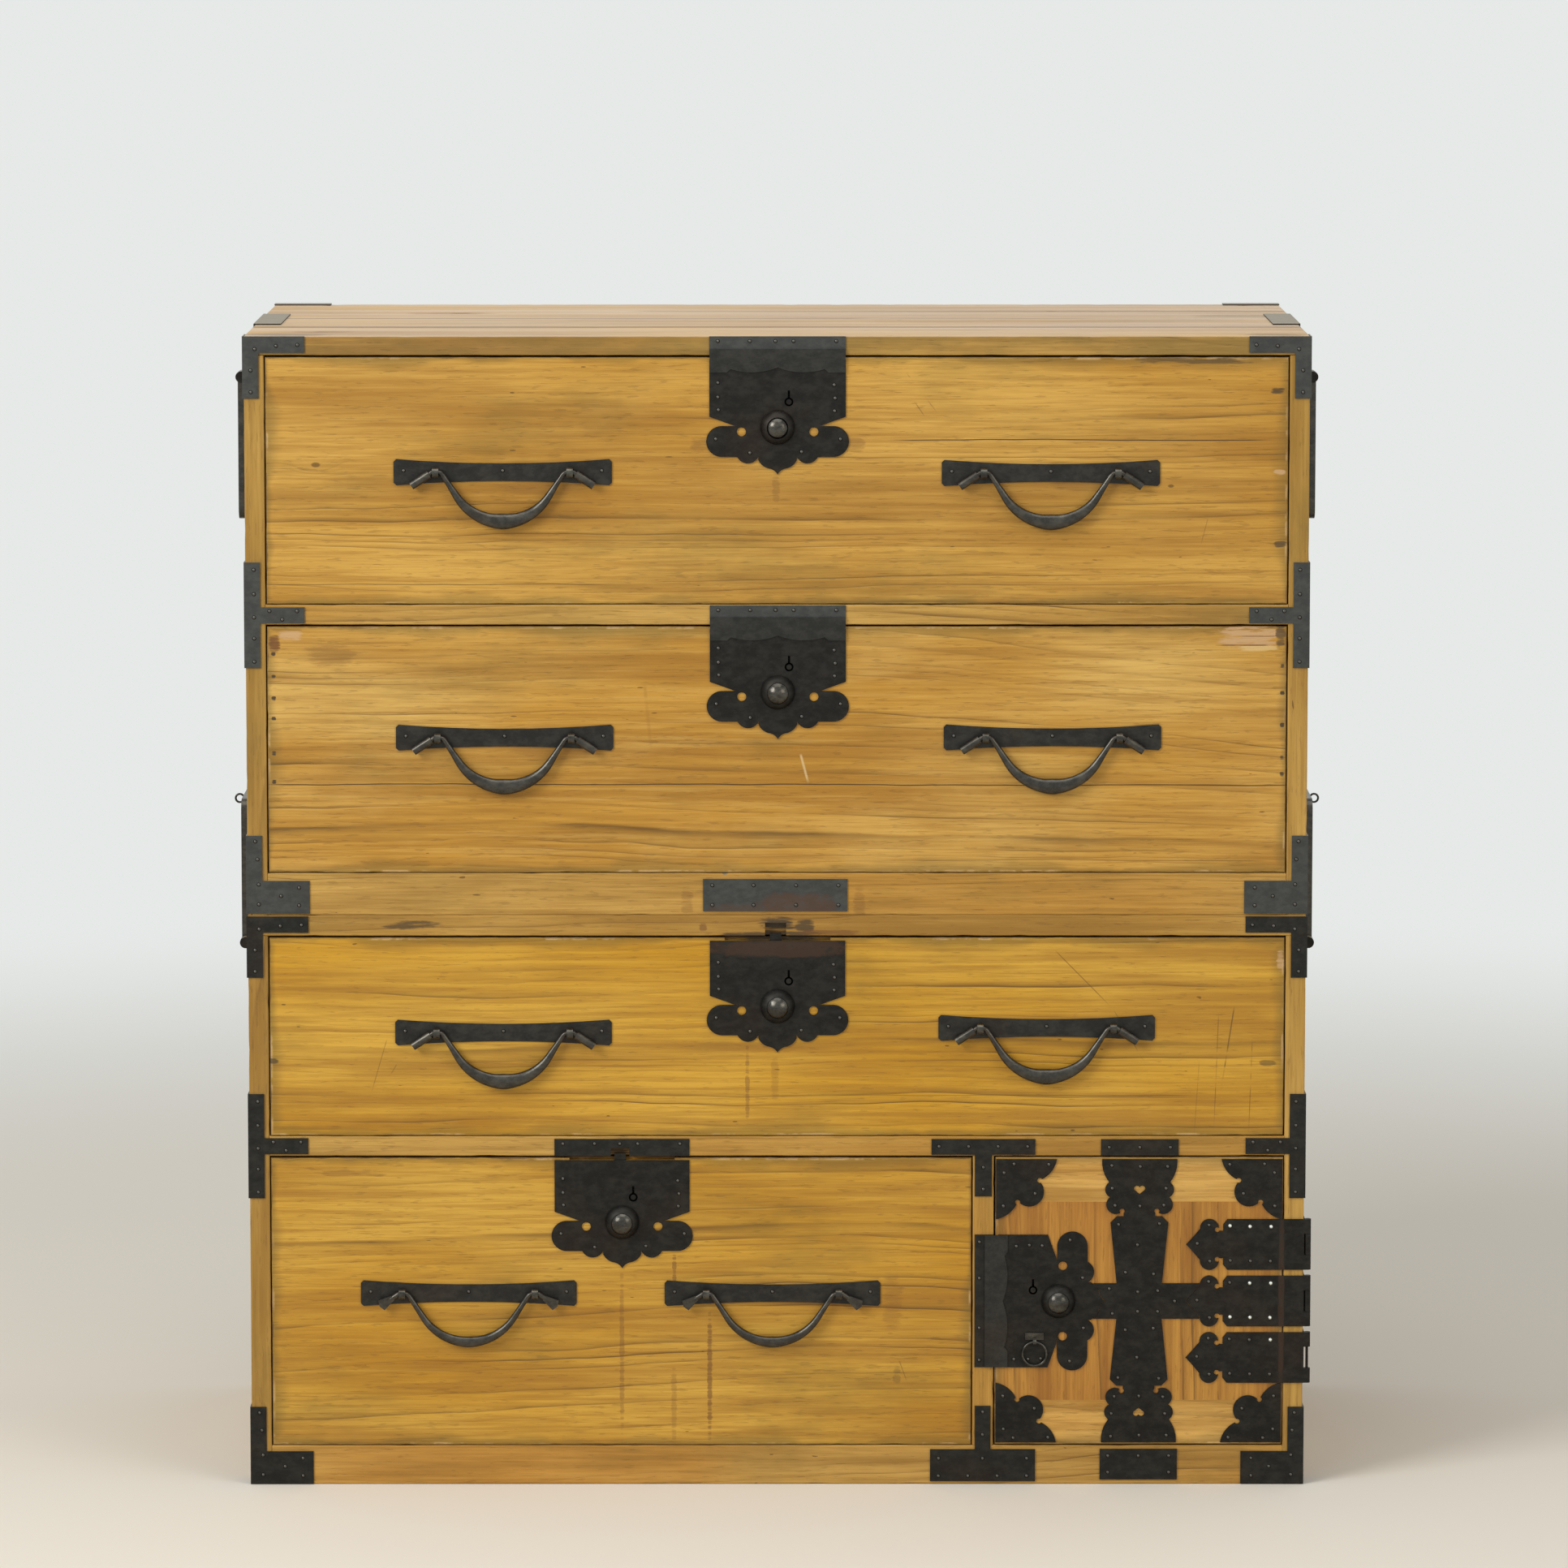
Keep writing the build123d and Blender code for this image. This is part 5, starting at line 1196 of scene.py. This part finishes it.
BOARDS = (
    BoardSet("upper_side_boards", 2.0, "#AC8438", Grain.UPRIGHT_SIDE),
    BoardSet("lower_side_boards", 4.0, "#AC8438", Grain.UPRIGHT_SIDE),
    BoardSet("upper_top_boards", 6.0, "#A0783A", Grain.LENGTHWISE_TOP, marks=(
        Mark(RUST, -0.32, 0.09, 0.045, 0.016, 0.45), Mark(RUST, -0.43, -0.16, 0.03, 0.01, 0.4),
        Mark(SOOT_AND_PAINTED_SHADE, 0.2, 0.02, 0.12, 0.008, 0.35), Mark(SOOT_AND_PAINTED_SHADE, 0.45, 0.05, 0.05, 0.02, 0.35),
        Mark(SOOT_AND_PAINTED_SHADE, -0.46, -0.195, 0.045, 0.018, 0.45), Mark(SOOT_AND_PAINTED_SHADE, 0.47, -0.195, 0.03, 0.018, 0.45),
    ), cracks=(
        Crack(-0.097, -0.52, 0.52, 4 * MM, 0.8), Crack(0.02, -0.52, 0.1, 4 * MM, 0.45),
        Crack(0.12, -0.15, 0.52, 5 * MM, 0.35),
    ), knots=((-0.31, 0.09, 0.022), (-0.43, -0.16, 0.014), (0.27, 0.12, 0.012)), dusty_top=0.5),
    BoardSet("lower_top_boards", 7.0, "#AF8234", marks=(
        # The marks in the middle, at 0.54 and 0.5295 high, are painted shade in the bolt's notch
        # and in the slot above drawer 3's lock.
        Mark(SOOT_AND_PAINTED_SHADE, -0.346, 0.538, 0.028, 0.0045, 0.8), Mark(SOOT_AND_PAINTED_SHADE, 0.0, 0.54, 0.018, 0.0075, 1.0),
        Mark(SOOT_AND_PAINTED_SHADE, 0.026, 0.538, 0.01, 0.006, 0.9), Mark(SOOT_AND_PAINTED_SHADE, 0.0, 0.5295, 0.054, 0.0026, 0.9),
        Mark(RUST, 0.05, 0.531, 0.03, 0.003, 0.6), Mark(RUST, -0.07, 0.536, 0.004, 0.005, 0.6),
    )),
    BoardSet("upper_bottom", 8.0, "#C08D38", marks=(
        Mark(MarkKind.PLUG, -0.231, 0.59, 0.003, 0.003, 0.9),
        Mark(MarkKind.PLUG, -0.049, 0.588, 0.003, 0.003, 0.9),
        Mark(SOOT_AND_PAINTED_SHADE, 0.136, 0.59, 0.003, 0.003, 0.8),
        Mark(RUST, -0.085, 0.56, 0.006, 0.016, 0.3), Mark(RUST, 0.078, 0.56, 0.006, 0.016, 0.3),
    )),
    BoardSet("lower_bottom", 9.0, "#C6903C"),
    BoardSet("upper_shelf", 10.0, "#B98733"),
    BoardSet("lower_shelf", 11.0, "#B98733",
             # Painted shade in the notch that takes drawer 4's bolt.
             marks=(Mark(SOOT_AND_PAINTED_SHADE, -0.149, 0.325, 0.014, 0.01, 0.9),)),
    BoardSet("lower_divider", 12.0, "#B98733", Grain.UPRIGHT),
    BoardSet("upper_back_boards", 13.0, "#AC8438"),
    BoardSet("lower_back_boards", 14.0, "#AC8438"),
)
INNER_BOARDS = tuple(
    VarnishedPaulownia(f"bare_paulownia_{grain.name.lower()}", grain, 31.0, middle="#C9AE84",
                       pale="#D8C39C", deep="#A98B5E", line="#8F744A", grime="#9C875F",
                       roughness=0.7)
    for grain in (Grain.LENGTHWISE, Grain.DEPTHWISE))


def end_nails(across: float, heights: tuple[float, ...]) -> tuple[Mark, ...]:
    """Dark square nails down one end of a drawer front."""
    return tuple(Mark(SOOT_AND_PAINTED_SHADE, across, up, 2.3 * MM, 2.3 * MM, 1.0) for up in heights)


DRAWERS = (
    DrawerFront(1, 41.0, middle="#BF8A2C", pale="#D9AA50", marks=(
        Mark(RUST, -0.001, 0.953, 0.004, 0.014, 0.3),
        Mark(RUST, -0.073, 0.994, 0.009, 0.007, 0.35),
        Mark(RUST, 0.073, 0.994, 0.01, 0.007, 0.35), Mark(SOOT_AND_PAINTED_SHADE, 0.47, 1.045, 0.007, 0.003, 0.9),
        Mark(TORN, 0.472, 0.968, 0.006, 0.003, 0.8), Mark(SOOT_AND_PAINTED_SHADE, 0.473, 0.9, 0.006, 0.003, 0.8),
        Mark(SOOT_AND_PAINTED_SHADE, 0.4, 1.073, 0.06, 0.003, 0.7), Mark(RUST, 0.29, 0.96, 0.045, 0.01, 0.3),
        Mark(RUST, -0.22, 0.955, 0.045, 0.01, 0.25),
    ), knots=((-0.433, 0.975, 0.009), (0.37, 0.955, 0.006)),
        cracks=(Crack(0.998, 0.1, 0.47), Crack(0.862, -0.49, -0.15, strength=0.5)), scratches=(
        Scratch((0.121, 1.062), (0.152, 1.022)),
        Scratch((0.128, 1.036), (0.139, 1.02)),
        Scratch((0.405, 0.925), (0.398, 0.898), strength=0.4),
    )),
    DrawerFront(2, 42.3, middle="#C99538", pale="#DFB562", marks=(
        Mark(RUST, -0.473, 0.806, 0.006, 0.009, 0.9), Mark(TORN, -0.458, 0.814, 0.012, 0.006, 0.8),
        Mark(TORN, 0.446, 0.812, 0.03, 0.012, 0.85),
        Mark(MarkKind.BLEACHED, 0.455, 0.802, 0.022, 0.003, 0.8),
        Mark(RUST, 0.44, 0.8045, 0.028, 0.0008, 0.8), Mark(RUST, 0.448, 0.813, 0.026, 0.0008, 0.6),
        Mark(SOOT_AND_PAINTED_SHADE, 0.474, 0.812, 0.005, 0.014, 0.8), Mark(RUST, -0.42, 0.795, 0.026, 0.011, 0.35),
        Mark(RUST, -0.21, 0.705, 0.045, 0.01, 0.22),
        *end_nails(-0.474, (0.796, 0.775, 0.754, 0.735, 0.702, 0.675)),
        *end_nails(0.476, (0.785, 0.759, 0.729, 0.698, 0.682)),
    ), cracks=(Crack(0.672, -0.49, 0.5), Crack(0.6, 0.12, 0.47, strength=0.4)), scratches=(
        Scratch((0.022, 0.702), (0.03, 0.672), "#E6CB98", 0.8 * MM, 0.6),
        Scratch((-0.125, 0.77), (-0.118, 0.7), "#9C6E26", 1.2 * MM, 0.3),
    )),
    DrawerFront(3, 43.7, middle="#CA941C", pale="#DBAB40", lock_iron="lock_3", marks=(
        # Painted shade: dark band in the slot between the lock plate and the board above.
        Mark(SOOT_AND_PAINTED_SHADE, 0.0005, 0.5255, 0.052, 0.004, 0.95),
        Mark(RUST, -0.028, 0.386, 0.0022, 0.038, 0.45),
        Mark(RUST, -0.002, 0.394, 0.004, 0.022, 0.25),
        Mark(SOOT_AND_PAINTED_SHADE, -0.478, 0.408, 0.006, 0.003, 0.8), Mark(TORN, 0.476, 0.505, 0.004, 0.012, 0.7),
        Mark(SOOT_AND_PAINTED_SHADE, 0.465, 0.406, 0.008, 0.003, 0.6),
    ), cracks=(Crack(0.375, -0.02, 0.4, strength=0.35),), scratches=(
        Scratch((0.262, 0.515), (0.318, 0.458), strength=0.7),
        Scratch((0.318, 0.458), (0.352, 0.4), strength=0.5),
        Scratch((0.433, 0.462), (0.42, 0.376), half_width=0.5 * MM, strength=0.8),
        Scratch((0.418, 0.455), (0.414, 0.34), strength=0.6),
        Scratch((0.45, 0.43), (0.447, 0.335), strength=0.6),
        Scratch((0.4, 0.41), (0.395, 0.33), strength=0.35),
        Scratch((-0.369, 0.43), (-0.385, 0.375), strength=0.5),
        Scratch((-0.36, 0.405), (-0.366, 0.395), strength=0.5),
    )),
    DrawerFront(4, 45.1, middle="#C59023", pale="#D8AA44", marks=(
        Mark(RUST, -0.1475, 0.131, 0.0025, 0.081, 0.4),
        Mark(RUST, -0.0975, 0.2, 0.0022, 0.026, 0.55),
        Mark(RUST, -0.098, 0.075, 0.003, 0.04, 0.3),
        Mark(RUST, -0.064, 0.106, 0.0026, 0.064, 0.65),
        Mark(RUST, 0.11, 0.175, 0.01, 0.03, 0.25), Mark(SOOT_AND_PAINTED_SHADE, 0.114, 0.105, 0.004, 0.01, 0.35),
        Mark(RUST, -0.4, 0.3, 0.035, 0.003, 0.35),
    ), scratches=(
        Scratch((0.116, 0.12), (0.124, 0.098)),
        Scratch((0.04, 0.19), (0.048, 0.16), strength=0.35),
    )),
)


def main() -> None:
    """Build the whole scene."""
    logging.basicConfig(level=logging.INFO)
    irons = {name: iron.build() for name, iron in IRONS.items()}
    new_nail = NailHead("bright_steel_nail_head", crown="#E8EBE4", rim="#8D9088")
    ironwork = Ironwork(NailHead("rubbed_nail_head_painted_shade").build(), new_nail.build(),
                        irons["polished"], irons["cover"])
    finishes = Finishes(irons, ironwork, tuple(board.build() for board in INNER_BOARDS))
    for piece in (Cases(), *DRAWERS, Door()):
        piece.build(finishes)
    Studio().build()


if __name__ == "__main__":
    main()
